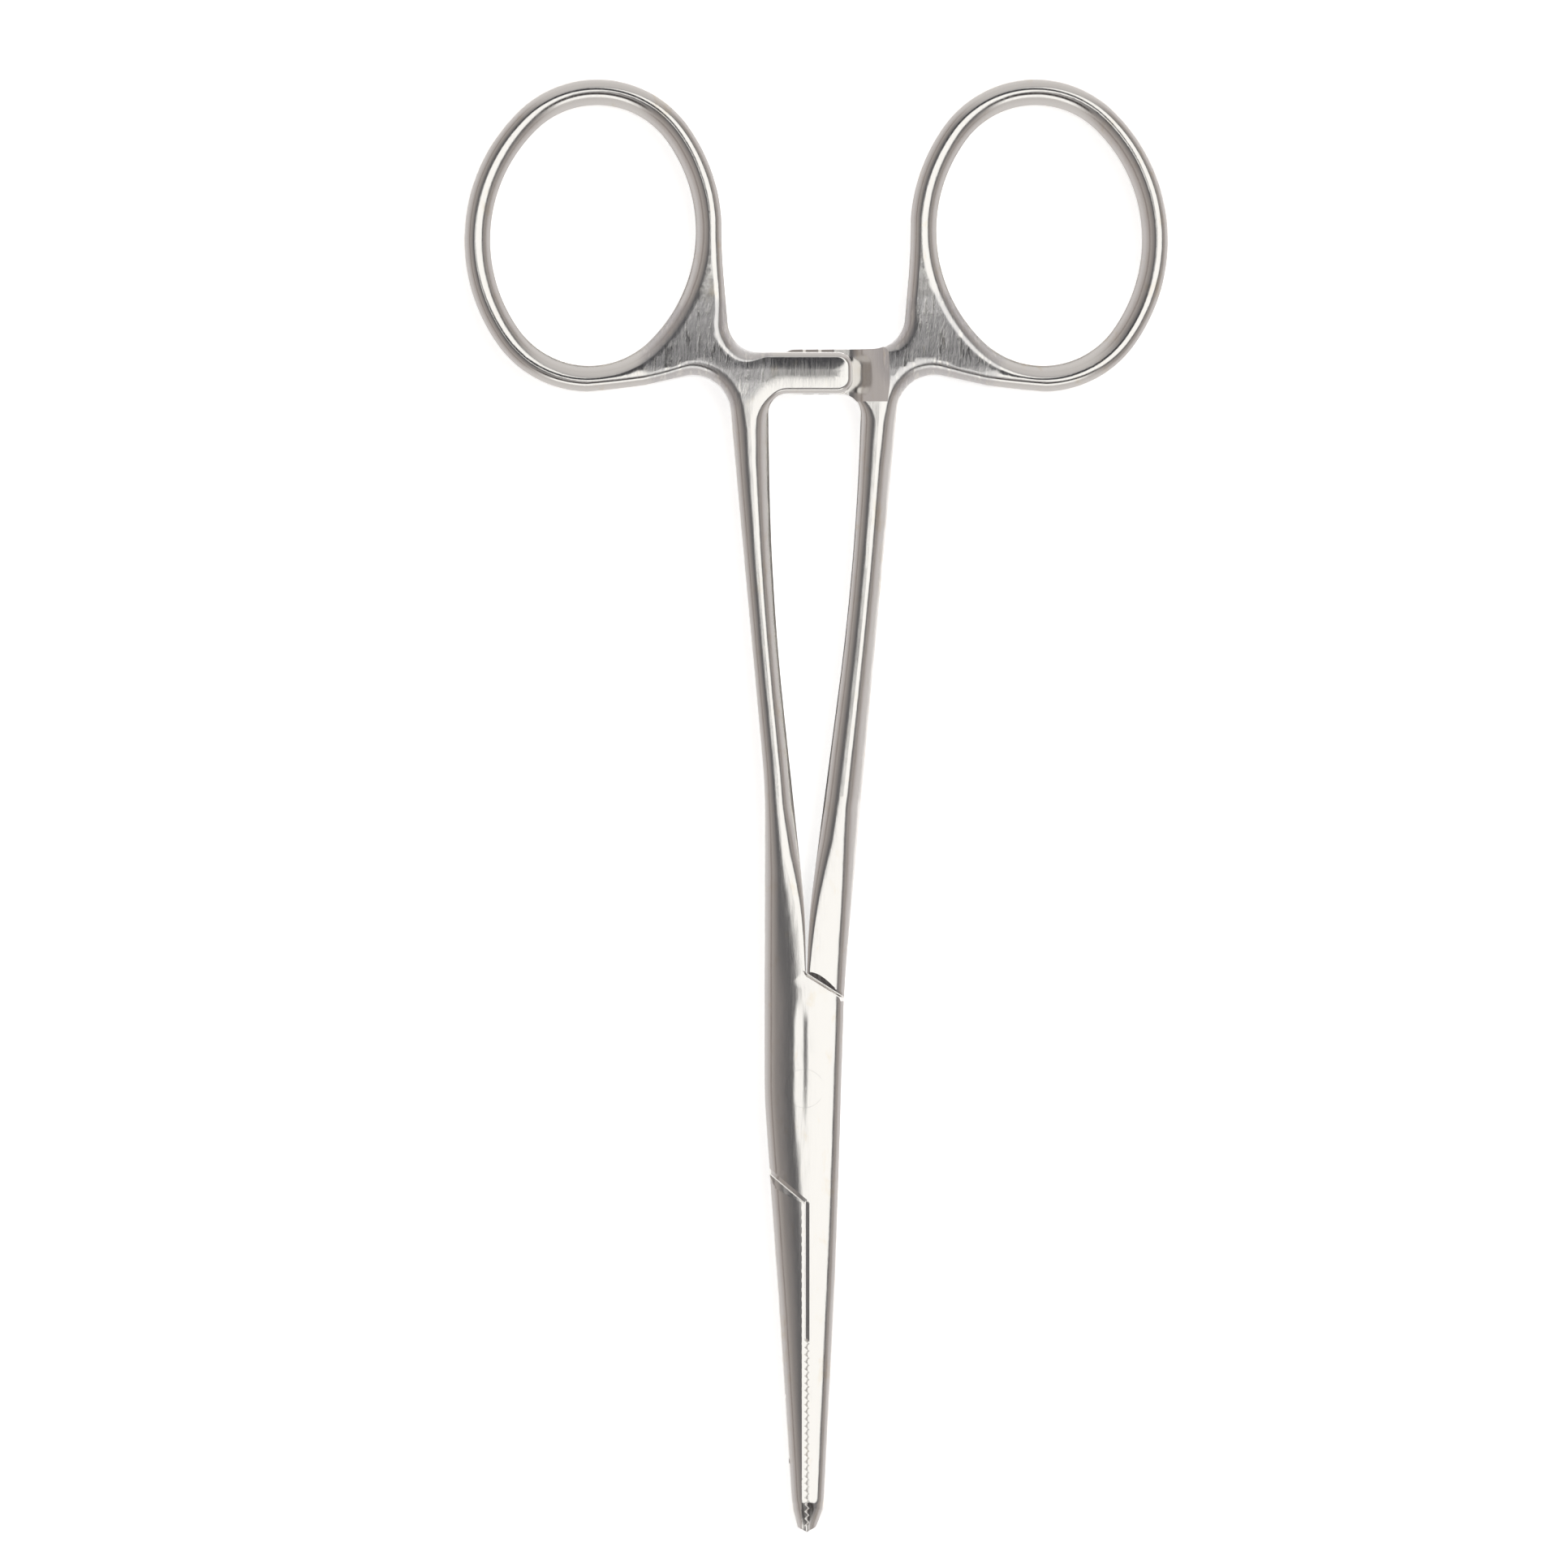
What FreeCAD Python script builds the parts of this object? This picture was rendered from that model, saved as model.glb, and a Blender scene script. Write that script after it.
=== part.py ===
"""A straight box-lock hemostat: two forged halves crossed through each other and held by one rivet pin.

The forceps lie flat. X runs across them, Y from the pin towards the finger rings, Z is the thickness. The
origin is on the lower face of the box lock, on the pin's axis. All sizes are in millimetres.
"""

import FreeCAD, Part
import math
import os
import re

import Sketcher

SIZES = {
    # Thickness, along Z.
    "box_thick": 5.0,
    "ring_thick": 3.8,
    "tip_thick": 2.5,
    "nose_length": 1.8,
    "nose_thick": 1.5,
    "slab_top_y": 15.5,
    "slab_bottom_y": 13.4,
    # The finger rings: the holes, the band round them and where their centres lie.
    "hole_width": 19.74,
    "hole_length": 25.1,
    "hole_end_radius": 8.3,
    "ring_band": 2.5,
    "ring_centre_y": 82.0,
    "left_centre_x": 20.33,
    "right_centre_x": 22.59,
    "ring_lean": 5.0,
    "hole_round": 1.1,
    "ring_blend": 12.0,
    # The web that joins ring, shank and ratchet arm.
    "web_corner_drop": 12.6,
    "web_foot_out": 1.1,
    "web_foot_in": 2.2,
    "throat_bite": 0.34,
    "throat_lean": 5.0,
    "throat_rise": 2.1,
    "web_round": 3.6,
    "throat_round": 3.1,
    # The shanks, from the box lock up to the ratchet.
    "window_left": 3.5,
    "window_right": 5.5,
    "window_round": 1.9,
    "shank_lean": 5.25,
    "left_outer_kink_y": 29.3,
    "right_outer_kink_y": 9.7,
    "inner_kink_y": 17.2,
    "inner_bow_left_x": 3.2,
    "inner_bow_left_y": 47.8,
    "inner_bow_right_x": 4.9,
    "inner_bow_right_y": 50.5,
    "kink_round": 60.0,
    "bow_round": 260.0,
    "edge_bevel": 0.75,
    # The box lock.
    "box_left": 3.83,
    "box_right": 3.53,
    "box_taper": 1.7,
    "upper_shoulder_reach": 9.34,
    "upper_shoulder_angle": 32.7,
    "lower_shoulder_reach": 8.4,
    "lower_shoulder_angle": 39.7,
    "shoulder_gap": 0.12,
    "notch_x": 0.2,
    "shank_gap": 0.1,
    "slot_side_y": 2.5,
    "slot_clearance": 0.15,
    "tongue_thick": 1.8,
    "tongue_clearance": 0.05,
    "pin_radius": 1.6,
    "pin_clearance": 0.03,
    "pin_flare": 0.25,
    # The jaws and their serrations.
    "jaw_length": 42.8,
    "jaw_left_kink_y": 0.8,
    "jaw_right_kink_y": 18.8,
    "tip_left": 1.18,
    "tip_right": 1.87,
    "tip_length": 2.15,
    "tip_corner_back": 0.5,
    "tip_corner_share": 0.55,
    "parting_x": 0.14,
    "parting_gap": 0.05,
    "inner_chamfer": 0.3,
    "shoulder_chamfer": 0.3,
    "serration_start_y": 24.2,
    "serration_pitch": 0.69,
    "serration_depth": 0.35,
    "serration_land": 0.05,
    # The ratchet arms and their teeth.
    "arm_drop": 10.9,
    "arm_width": 4.3,
    "front_arm_end": 4.61,
    "rear_arm_end": 2.35,
    "arm_round": 1.4,
    "arm_gap": 0.12,
    "left_root_x": 3.0,
    "right_root_x": 6.2,
    "root_round": 1.9,
    "tooth_pitch": 1.5,
    "tooth_depth": 0.5,
    "tooth_count": 3,
    "tooth_inset": 0.7,
}

doc = FreeCAD.newDocument("Hemostat")
sheet = doc.addObject("Spreadsheet::Sheet", "Sizes")
for row, (alias, size) in enumerate(SIZES.items(), start=1):
    sheet.set(f"A{row}", alias.replace("_", " "))
    sheet.set(f"B{row}", str(size))
    sheet.setAlias(f"B{row}", alias)
doc.recompute()


def bind(text):
    """An expression in plain names, with each name of the sheet pointing at its cell."""
    return re.sub(r"[a-z][a-z_]+", lambda m: f"Sizes.{m[0]}" if m[0] in SIZES else m[0], str(text))


def value(text):
    """What an expression comes to now, in millimetres or degrees."""
    return float(sheet.evalExpression(bind(text)))


# Places that several outlines share, as expressions in the sheet's names.
MID = "box_thick / 2"
OVERSIZE = "box_thick"
TIP_START = "(jaw_length - tip_length)"
WEB_CORNER_Y = "(ring_centre_y - web_corner_drop)"
ARM_TOP_Y = "(ring_centre_y - arm_drop)"
ARM_BOTTOM_Y = f"({ARM_TOP_Y} - arm_width)"
UPPER_NORMAL = ("sin(upper_shoulder_angle)", "cos(upper_shoulder_angle)")
LOWER_NORMAL = ("sin(lower_shoulder_angle)", "cos(lower_shoulder_angle)")


def upper_shoulder_y(x, gap="0"):
    """The height of the upper shoulder line at x, moved up by a gap measured square to the line."""
    return f"(upper_shoulder_reach + {gap} - ({x}) * {UPPER_NORMAL[0]}) / {UPPER_NORMAL[1]}"


def lower_shoulder_y(x, gap="0"):
    """The height of the lower shoulder line at x, moved down by a gap measured square to the line."""
    return f"-(lower_shoulder_reach + {gap} + ({x}) * {LOWER_NORMAL[0]}) / {LOWER_NORMAL[1]}"


def left_shank_x(y):
    """The outer edge of the left shank, which leans out from its kink."""
    return f"-box_left - ({y} - left_outer_kink_y) * tan(shank_lean)"


def right_edge_x(y):
    """The right side of the box lock, which tapers slowly towards the jaws."""
    return f"box_right + ({y}) * tan(box_taper)"


def right_shank_x(y):
    """The outer edge of the right shank, which leans out from its kink."""
    return f"{right_edge_x('right_outer_kink_y')} + ({y} - right_outer_kink_y) * tan(shank_lean)"


def new_body(label):
    body = doc.addObject("PartDesign::Body", label)
    body.Label = label
    return body


def plane_of(body, role):
    return next(f for f in body.Origin.OriginFeatures if f.Role == role)


def new_sketch(body, label, role, height=None):
    """A sketch on one of the body's origin planes, or a stated height along that plane's normal."""
    sketch = body.newObject("Sketcher::SketchObject", label)
    sketch.AttachmentSupport = [(plane_of(body, role), "")]
    sketch.MapMode = "FlatFace"
    if height is not None:
        sketch.setExpression("AttachmentOffset.Base.z", bind(height))
    return sketch


def constrain(sketch, kind, *args):
    """Add one constraint. A last argument that is text is bound to the sheet."""
    if isinstance(args[-1], str):
        index = sketch.addConstraint(Sketcher.Constraint(kind, *args[:-1], value(args[-1])))
        sketch.setExpression(f"Constraints[{index}]", bind(args[-1]))
    else:
        sketch.addConstraint(Sketcher.Constraint(kind, *args))


def locate(sketch, geometry, point, x, y):
    constrain(sketch, "DistanceX", -1, 1, geometry, point, x)
    constrain(sketch, "DistanceY", -1, 1, geometry, point, y)


def rounding(before, corner, after, radius):
    """The arc that rounds a corner: its centre, where it meets each side, and whether it turns left."""
    towards_before = (before - corner).normalize()
    towards_after = (after - corner).normalize()
    half = towards_before.getAngle(towards_after) / 2
    bisector = (towards_before + towards_after).normalize()
    centre = corner + bisector * (radius / math.sin(half))
    reach = radius / math.tan(half)
    turns_left = (corner - before).cross(after - corner).z > 0
    return centre, corner + towards_before * reach, corner + towards_after * reach, turns_left


def outline(sketch, corners):
    """Draw a closed outline of straight sides. Each corner is (x, y) or, rounded, (x, y, radius)."""
    count = len(corners)
    spots = [FreeCAD.Vector(value(c[0]), value(c[1]), 0) for c in corners]
    arcs = {}
    for i, corner in enumerate(corners):
        if len(corner) == 3:
            arcs[i] = rounding(spots[i - 1], spots[i], spots[(i + 1) % count], value(corner[2]))
    sides = []
    for i in range(count):
        j = (i + 1) % count
        start = arcs[i][2] if i in arcs else spots[i]
        end = arcs[j][1] if j in arcs else spots[j]
        sides.append(sketch.addGeometry(Part.LineSegment(start, end), False))
    for i, corner in enumerate(corners):
        before, after = sides[i - 1], sides[i]
        if i not in arcs:
            constrain(sketch, "Coincident", before, 2, after, 1)
            locate(sketch, after, 1, corner[0], corner[1])
            continue
        centre, first, last, turns_left = arcs[i]
        if not turns_left:
            first, last = last, first
        angles = [math.atan2(p.y - centre.y, p.x - centre.x) for p in (first, last)]
        circle = Part.Circle(centre, FreeCAD.Vector(0, 0, 1), value(corner[2]))
        arc = sketch.addGeometry(Part.ArcOfCircle(circle, angles[0], angles[1]), False)
        mark = sketch.addGeometry(Part.Point(spots[i]), True)
        locate(sketch, mark, 1, corner[0], corner[1])
        constrain(sketch, "PointOnObject", mark, 1, before)
        constrain(sketch, "PointOnObject", mark, 1, after)
        constrain(sketch, "Tangent", before, 2, arc, 1 if turns_left else 2)
        constrain(sketch, "Tangent", after, 1, arc, 2 if turns_left else 1)
        constrain(sketch, "Radius", arc, corner[2])
    return sketch


# An oval is four tangent arcs: two at the ends of its long axis and two flatter ones at its sides. These are
# how far the end arcs' centres lie from its middle, and the side arcs' centres from its long axis.
END_CENTRE = "(hole_length / 2 - hole_end_radius)"
SIDE_SLACK = "(hole_width / 2 - hole_end_radius)"
SIDE_CENTRE = f"(({END_CENTRE} ^ 2 - {SIDE_SLACK} ^ 2) / (2 * {SIDE_SLACK}))"


def oval(sketch, x, y, lean, band):
    """Draw the finger hole's oval, grown all round by a band, its long axis leaning from Y towards +X."""
    tilt = math.radians(value(lean))
    middle_point = FreeCAD.Vector(value(x), value(y), 0)
    along = FreeCAD.Vector(math.sin(tilt), math.cos(tilt), 0)
    across = FreeCAD.Vector(math.cos(tilt), -math.sin(tilt), 0)
    ends = [middle_point + along * value(END_CENTRE) * sign for sign in (1, -1)]
    sides = [middle_point - across * value(SIDE_CENTRE) * sign for sign in (1, -1)]
    end_radius, side_radius = f"hole_end_radius + {band}", f"hole_width / 2 + {SIDE_CENTRE} + {band}"

    def joint(end, side):
        return ends[end] + (ends[end] - sides[side]).normalize() * value(end_radius)

    arcs = []
    for centre, radius, start, finish in (
        (sides[0], side_radius, joint(1, 0), joint(0, 0)),
        (ends[0], end_radius, joint(0, 0), joint(0, 1)),
        (sides[1], side_radius, joint(0, 1), joint(1, 1)),
        (ends[1], end_radius, joint(1, 1), joint(1, 0)),
    ):
        angles = [math.atan2(p.y - centre.y, p.x - centre.x) for p in (start, finish)]
        circle = Part.Circle(centre, FreeCAD.Vector(0, 0, 1), value(radius))
        arcs.append(sketch.addGeometry(Part.ArcOfCircle(circle, angles[0], angles[1]), False))
        constrain(sketch, "Radius", arcs[-1], radius)
    for i, arc in enumerate(arcs):
        constrain(sketch, "Tangent", arc, 2, arcs[(i + 1) % 4], 1)
    for arc, sign in ((arcs[1], "1"), (arcs[3], "-1")):
        reach = f"({sign}) * {END_CENTRE}"
        locate(sketch, arc, 3, f"{x} + {reach} * sin({lean})", f"{y} + {reach} * cos({lean})")
    return sketch


def feature(body, kind, label, sketch, length, midplane=False, reverse=False):
    made = body.newObject(f"PartDesign::{kind}", label)
    made.Profile = sketch
    made.setExpression("Length", bind(length))
    made.Midplane = midplane
    made.Reversed = reverse
    doc.recompute()
    return made


def cut(body, label, sketch, length, midplane=False, reverse=False):
    """A pocket that has to take something away."""
    before = body.Shape.Volume
    made = feature(body, "Pocket", label, sketch, length, midplane, reverse)
    if not body.Shape.Volume < before - 1e-6:
        raise RuntimeError(f"{label} cuts nothing")
    return made


def dress(body, kind, label, size, edges):
    """Fillet or chamfer the edges named, all by one size."""
    if not edges:
        raise RuntimeError(f"{label} finds no edges")
    base = body.Tip
    made = body.newObject(f"PartDesign::{kind}", label)
    made.Base = (base, edges)
    made.setExpression("Radius" if kind == "Fillet" else "Size", bind(size))
    doc.recompute()
    return made


def middle(edge):
    return edge.valueAt((edge.FirstParameter + edge.LastParameter) / 2)


def edge_names(shape, wanted):
    return [f"Edge{i}" for i, edge in enumerate(shape.Edges, start=1) if wanted(edge)]


def rim_edges(shape, keep):
    """Edges between a wall and the upper or lower surface whose middle passes the test."""

    def steepness(face, point):
        u, v = face.Surface.parameter(point)
        return abs(face.normalAt(u, v).z)

    def wanted(edge):
        point = middle(edge)
        if not keep(point):
            return False
        faces = shape.ancestorsOfType(edge, Part.Face)
        slopes = sorted(steepness(face, point) for face in faces)
        return len(slopes) == 2 and slopes[0] < 0.1 and slopes[1] > 0.9

    return edge_names(shape, wanted)


def upright_edges(shape, places, reach):
    """Edges parallel to Z, within a distance of the places given, where two walls meet at an angle."""

    def wanted(edge):
        ends = [v.Point for v in edge.Vertexes]
        if len(ends) != 2 or math.hypot(ends[0].x - ends[1].x, ends[0].y - ends[1].y) > 1e-4:
            return False
        if not any(math.hypot(ends[0].x - x, ends[0].y - y) < reach for x, y in places):
            return False
        point = middle(edge)
        normals = [f.normalAt(*f.Surface.parameter(point)) for f in shape.ancestorsOfType(edge, Part.Face)]
        return len(normals) == 2 and math.degrees(normals[0].getAngle(normals[1])) > 0.5

    return edge_names(shape, wanted)


def ring_place(side):
    """Centre and lean of a finger ring: side is -1 on the left and 1 on the right."""
    centre_x = "-left_centre_x" if side < 0 else "right_centre_x"
    lean = "ring_lean" if side < 0 else "-ring_lean"
    return centre_x, "ring_centre_y", lean


def pad_blank(body, corners, side):
    """The forging blank: ring disc and plan outline, thicker than needed all round."""
    blank_height = f"-{OVERSIZE} / 2"
    depth = f"box_thick + {OVERSIZE}"
    plan = outline(new_sketch(body, f"{body.Label}_plan", "XY_Plane", blank_height), corners)
    feature(body, "Pad", f"{body.Label}_blank", plan, depth)
    disc = new_sketch(body, f"{body.Label}_ring_outline", "XY_Plane", blank_height)
    oval(disc, *ring_place(side), "ring_band")
    feature(body, "Pad", f"{body.Label}_ring", disc, depth)


def cut_finger_hole(body, side):
    hole = new_sketch(body, f"{body.Label}_hole_outline", "XY_Plane")
    oval(hole, *ring_place(side), "0")
    cut(body, f"{body.Label}_hole", hole, "4 * box_thick", midplane=True)


def cut_side_profile(body):
    """Thin the blank above and below to the profile seen from the side."""
    far, out, base = "1.5 * ring_centre_y", f"box_thick + {OVERSIZE}", "-jaw_length - box_thick"
    for label, sign in (("upper", "1"), ("lower", "-1")):
        def level(half_thickness):
            return f"{MID} + ({sign}) * ({half_thickness})"

        sketch = new_sketch(body, f"{body.Label}_{label}_profile", "YZ_Plane")
        outline(sketch, [
            (far, level("ring_thick / 2")),
            ("inner_bow_left_y", level("ring_thick / 2"), "2 * bow_round"),
            ("slab_top_y", level("box_thick / 2"), "2 * bow_round"),
            ("-slab_bottom_y", level("box_thick / 2"), "bow_round"),
            ("nose_length - jaw_length", level("tip_thick / 2")),
            ("-jaw_length", level("nose_thick / 2")),
            (base, level("nose_thick / 2")),
            (base, level(out)),
            (far, level(out)),
        ])
        cut(body, f"{body.Label}_{label}_relief", sketch, "4 * right_centre_x", midplane=True)


def cut_arm(body, corners, label="arm_relief"):
    """Cut a shape drawn on XZ across the ratchet arm, from below its lower edge to above its top."""
    centre, span = f"{ARM_TOP_Y} - arm_width / 2", "arm_width + 1.6"
    sketch = outline(new_sketch(body, f"{body.Label}_{label}_outline", "XZ_Plane", f"-({centre})"), corners)
    return cut(body, f"{body.Label}_{label}", sketch, span, midplane=True)


def repeat(body, label, original, axis, pitch, count, reverse):
    """Copies of a cut at an even pitch along one of the body's axes."""
    pattern = body.newObject("PartDesign::LinearPattern", label)
    pattern.Originals = [original]
    pattern.Direction = (plane_of(body, axis), [""])
    pattern.Reversed = reverse
    pattern.setExpression("Occurrences", bind(count))
    pattern.setExpression("Length", bind(f"({pitch}) * (({count}) - 1)"))
    body.Tip = pattern
    doc.recompute()
    return pattern


SERRATIONS = "ceil((jaw_length - serration_start_y) / serration_pitch)"


def cut_serrations(body, apex_x, open_x, shift):
    """V grooves across the jaw, one at each pitch down to the tip."""
    half_width = "(serration_pitch - serration_land) / 2"
    y = f"-serration_start_y - serration_pitch * ({shift})"
    sketch = outline(new_sketch(body, f"{body.Label}_groove_outline", "XY_Plane"), [
        (apex_x, y),
        (open_x, f"{y} - ({half_width}) * {slope_reach(apex_x, open_x)}"),
        (open_x, f"{y} + ({half_width}) * {slope_reach(apex_x, open_x)}"),
    ])
    groove = cut(body, f"{body.Label}_groove", sketch, "4 * box_thick", midplane=True)
    repeat(body, f"{body.Label}_serrations", groove, "Y_Axis", "serration_pitch", SERRATIONS, True)


def slope_reach(apex_x, open_x):
    """How far the groove's mouth, drawn past the jaw's face, is wider than it is at the face."""
    return f"(abs(({open_x}) - ({apex_x})) / serration_depth)"


# The height where the throat's edge ends inside the ring's band.
THROAT_TOP = "ring_centre_y + throat_rise"
RING_BOTTOM = "ring_centre_y - hole_length / 2 - ring_band"

# How fast the left side narrows from the box to the tip, per millimetre of length.
LEFT_TAPER = f"(box_left - tip_left) / ({TIP_START} - jaw_left_kink_y)"
LOWER_LEFT_X = f"-box_left + (lower_shoulder_reach - jaw_left_kink_y) * {LEFT_TAPER}"

# The inner faces of the jaws: the slotted half's, and the other's without and with its serrations.
RIGHT_JAW_X = "parting_x"
LEFT_JAW_X = "parting_x - parting_gap"
LEFT_TOOTH_X = "parting_x - parting_gap + serration_depth"

# The inner corners of the two halves, where shank, shoulder and slot meet.
LEFT_NOTCH_X = "notch_x - shank_gap / 2"
RIGHT_NOTCH_X = "notch_x + shank_gap / 2"


def throat_edge_x(side, y):
    """The edge of a ring and web that faces the other ring, at a height: side is -1 on the left."""
    if side < 0:
        top = "-left_centre_x + hole_width / 2 + ring_band - throat_bite"
        return f"{top} + ({THROAT_TOP} - ({y})) * tan(throat_lean)"
    top = "right_centre_x - hole_width / 2 - ring_band + throat_bite"
    return f"{top} - ({THROAT_TOP} - ({y})) * tan(throat_lean)"


def ring_and_web(side, arm_end, window_x):
    """The corners from a half's window, round its arm and ring, to the outer end of its web."""
    centre, out = ("-left_centre_x", "-1") if side < 0 else ("right_centre_x", "1")
    shank_x = left_shank_x(WEB_CORNER_Y) if side < 0 else right_shank_x(WEB_CORNER_Y)
    return [
        (window_x, ARM_BOTTOM_Y, "window_round"),
        (arm_end, ARM_BOTTOM_Y, "arm_round"),
        (arm_end, ARM_TOP_Y, "arm_round"),
        (throat_edge_x(side, ARM_TOP_Y), ARM_TOP_Y, "throat_round"),
        (throat_edge_x(side, THROAT_TOP), THROAT_TOP),
        (centre, "ring_centre_y"),
        (f"{centre} + {out} * web_foot_out", f"{RING_BOTTOM} + ring_band / 3"),
        (f"{centre} - {out} * web_foot_in", RING_BOTTOM, "ring_blend"),
        (shank_x, WEB_CORNER_Y, "web_round"),
    ]


def round_joints(body, side):
    """Round the upright corners where the ring's disc meets throat and web, so that the outline flows."""
    centre = -value("left_centre_x") if side < 0 else value("right_centre_x")
    places = [
        (centre, value(RING_BOTTOM)),
        (value(throat_edge_x(side, "ring_centre_y")), value("ring_centre_y")),
    ]
    edges = upright_edges(body.Tip.Shape, places, value("ring_band") * 1.6)
    dress(body, "Fillet", f"{body.Label}_joint_round", "ring_blend", edges)


def finish_rims(body, side, keep):
    """Round the finger hole's rims, and bevel the other rims that pass the test."""
    x, y, lean = (value(size) for size in ring_place(side))
    turn_x, turn_y = math.sin(math.radians(lean)), math.cos(math.radians(lean))

    def on_hole(p):
        along = (p.x - x) * turn_x + (p.y - y) * turn_y
        across = (p.x - x) * turn_y - (p.y - y) * turn_x
        return math.hypot(2 * along / value("hole_length"), 2 * across / value("hole_width")) < 1.01

    def on_rest(p):
        return keep(p) and not on_hole(p)

    dress(body, "Fillet", f"{body.Label}_hole_rims", "hole_round", rim_edges(body.Tip.Shape, on_hole))
    dress(body, "Chamfer", f"{body.Label}_rims", "edge_bevel", rim_edges(body.Tip.Shape, on_rest))


def drill(body, label, radius):
    """A hole right through on the pin's axis."""
    sketch = new_sketch(body, f"{body.Label}_{label}_outline", "XY_Plane")
    circle = sketch.addGeometry(Part.Circle(FreeCAD.Vector(), FreeCAD.Vector(0, 0, 1), value(radius)), False)
    constrain(sketch, "Coincident", circle, 3, -1, 1)
    constrain(sketch, "Radius", circle, radius)
    cut(body, f"{body.Label}_{label}", sketch, "4 * box_thick", midplane=True)


def turn(body, kind, label, corners):
    """Revolve an outline drawn on XZ about the pin's axis, to add or to take away."""
    sketch = outline(new_sketch(body, f"{body.Label}_{label}_outline", "XZ_Plane"), corners)
    made = body.newObject(f"PartDesign::{kind}", f"{body.Label}_{label}")
    made.Profile = sketch
    made.ReferenceAxis = (sketch, ["V_Axis"])
    made.Angle = 360
    doc.recompute()
    return made


# Half the pin's section: straight through the tongue, flared at both ends where it was riveted over.
PIN_SECTION = [
    ("0", "0"),
    ("pin_radius + pin_flare", "0"),
    ("pin_radius", "pin_flare * 2"),
    ("pin_radius", "box_thick - pin_flare * 2"),
    ("pin_radius + pin_flare", "box_thick"),
    ("0", "box_thick"),
]


def cut_ratchet_teeth(body, side, arm_end, face, root):
    """Saw teeth across the arm's mating face, counted from the arm's end."""
    first = f"{arm_end} + ({side}) * tooth_inset"
    far = f"{first} + ({side}) * tooth_pitch"
    past = f"{face} + ({face} - ({root})) * 0.2"
    tooth = cut_arm(body, [(first, past), (first, root), (far, past)], "tooth")
    repeat(body, f"{body.Label}_teeth", tooth, "X_Axis", "tooth_pitch", "tooth_count", side == "-1")


def chamfer_rims(body, label, size, keep):
    dress(body, "Chamfer", f"{body.Label}_{label}", size, rim_edges(body.Tip.Shape, keep))


def slotted_half():
    """Left ring, left shank, front ratchet arm, the box with its slot, and the right jaw, forged in one."""
    body = new_body("slotted_half")
    shoulder_x = right_edge_x("upper_shoulder_reach")
    pad_blank(body, [
        # Right jaw, from the tip up its outer edge to the shoulder, and along it to the notch.
        (RIGHT_JAW_X, "-jaw_length"),
        (f"{RIGHT_JAW_X} + (tip_right - {RIGHT_JAW_X}) * tip_corner_share", "tip_corner_back - jaw_length"),
        ("tip_right", f"-{TIP_START}"),
        (right_edge_x("-jaw_right_kink_y"), "-jaw_right_kink_y", "bow_round"),
        (shoulder_x, upper_shoulder_y(shoulder_x)),
        (LEFT_NOTCH_X, upper_shoulder_y(LEFT_NOTCH_X)),
        # Up the shank's inner edge, round the arm and the ring, and down the outer edge.
        (f"{LEFT_NOTCH_X} - shank_gap", "inner_kink_y", "kink_round"),
        ("-inner_bow_left_x", "inner_bow_left_y", "bow_round"),
        *ring_and_web(-1, "front_arm_end", "-window_left"),
        ("-box_left", "left_outer_kink_y", "kink_round"),
        ("-box_left", "-jaw_left_kink_y", "kink_round"),
        # In along the lower shoulder to the parting line.
        (LOWER_LEFT_X, lower_shoulder_y(LOWER_LEFT_X)),
        (RIGHT_JAW_X, lower_shoulder_y(RIGHT_JAW_X)),
    ], side=-1)
    round_joints(body, -1)
    cut_finger_hole(body, -1)
    cut_side_profile(body)
    parting, tip, reach = value(RIGHT_JAW_X), -value(TIP_START), value("lower_shoulder_reach")
    below = [value("sin(lower_shoulder_angle)"), value("cos(lower_shoulder_angle)")]
    above = [value("sin(upper_shoulder_angle)"), value("cos(upper_shoulder_angle)")]

    def on_lower_shoulder(p):
        return abs(p.x * below[0] + p.y * below[1] + reach) < 0.01

    def on_upper_shoulder(p):
        return abs(p.x * above[0] + p.y * above[1] - value("upper_shoulder_reach")) < 0.01

    def on_jaw_face(p):
        return abs(p.x - parting) < 0.01 and p.y < -reach

    def outer(p):
        return p.y > tip and not (on_lower_shoulder(p) or on_upper_shoulder(p) or on_jaw_face(p))

    finish_rims(body, -1, outer)
    chamfer_rims(body, "jaw_chamfer", "inner_chamfer", on_jaw_face)
    chamfer_rims(body, "shoulder_chamfer", "shoulder_chamfer", on_lower_shoulder)
    cut_slot(body)
    turn(body, "Groove", "pin_seat", PIN_SECTION)
    # The front arm is the upper half of the thickness, with its teeth facing down.
    face = f"{MID} + arm_gap / 2"
    cut_arm(body, [
        ("-left_root_x", "-box_thick"),
        ("-left_root_x", face),
        ("front_arm_end + arm_round", face),
        ("front_arm_end + arm_round", "-box_thick"),
    ])
    cut_ratchet_teeth(body, "-1", "front_arm_end", face, f"{face} + tooth_depth")
    cut_serrations(body, f"{RIGHT_JAW_X} + serration_depth", f"{RIGHT_JAW_X} - serration_depth", "0.5")
    return body


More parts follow.
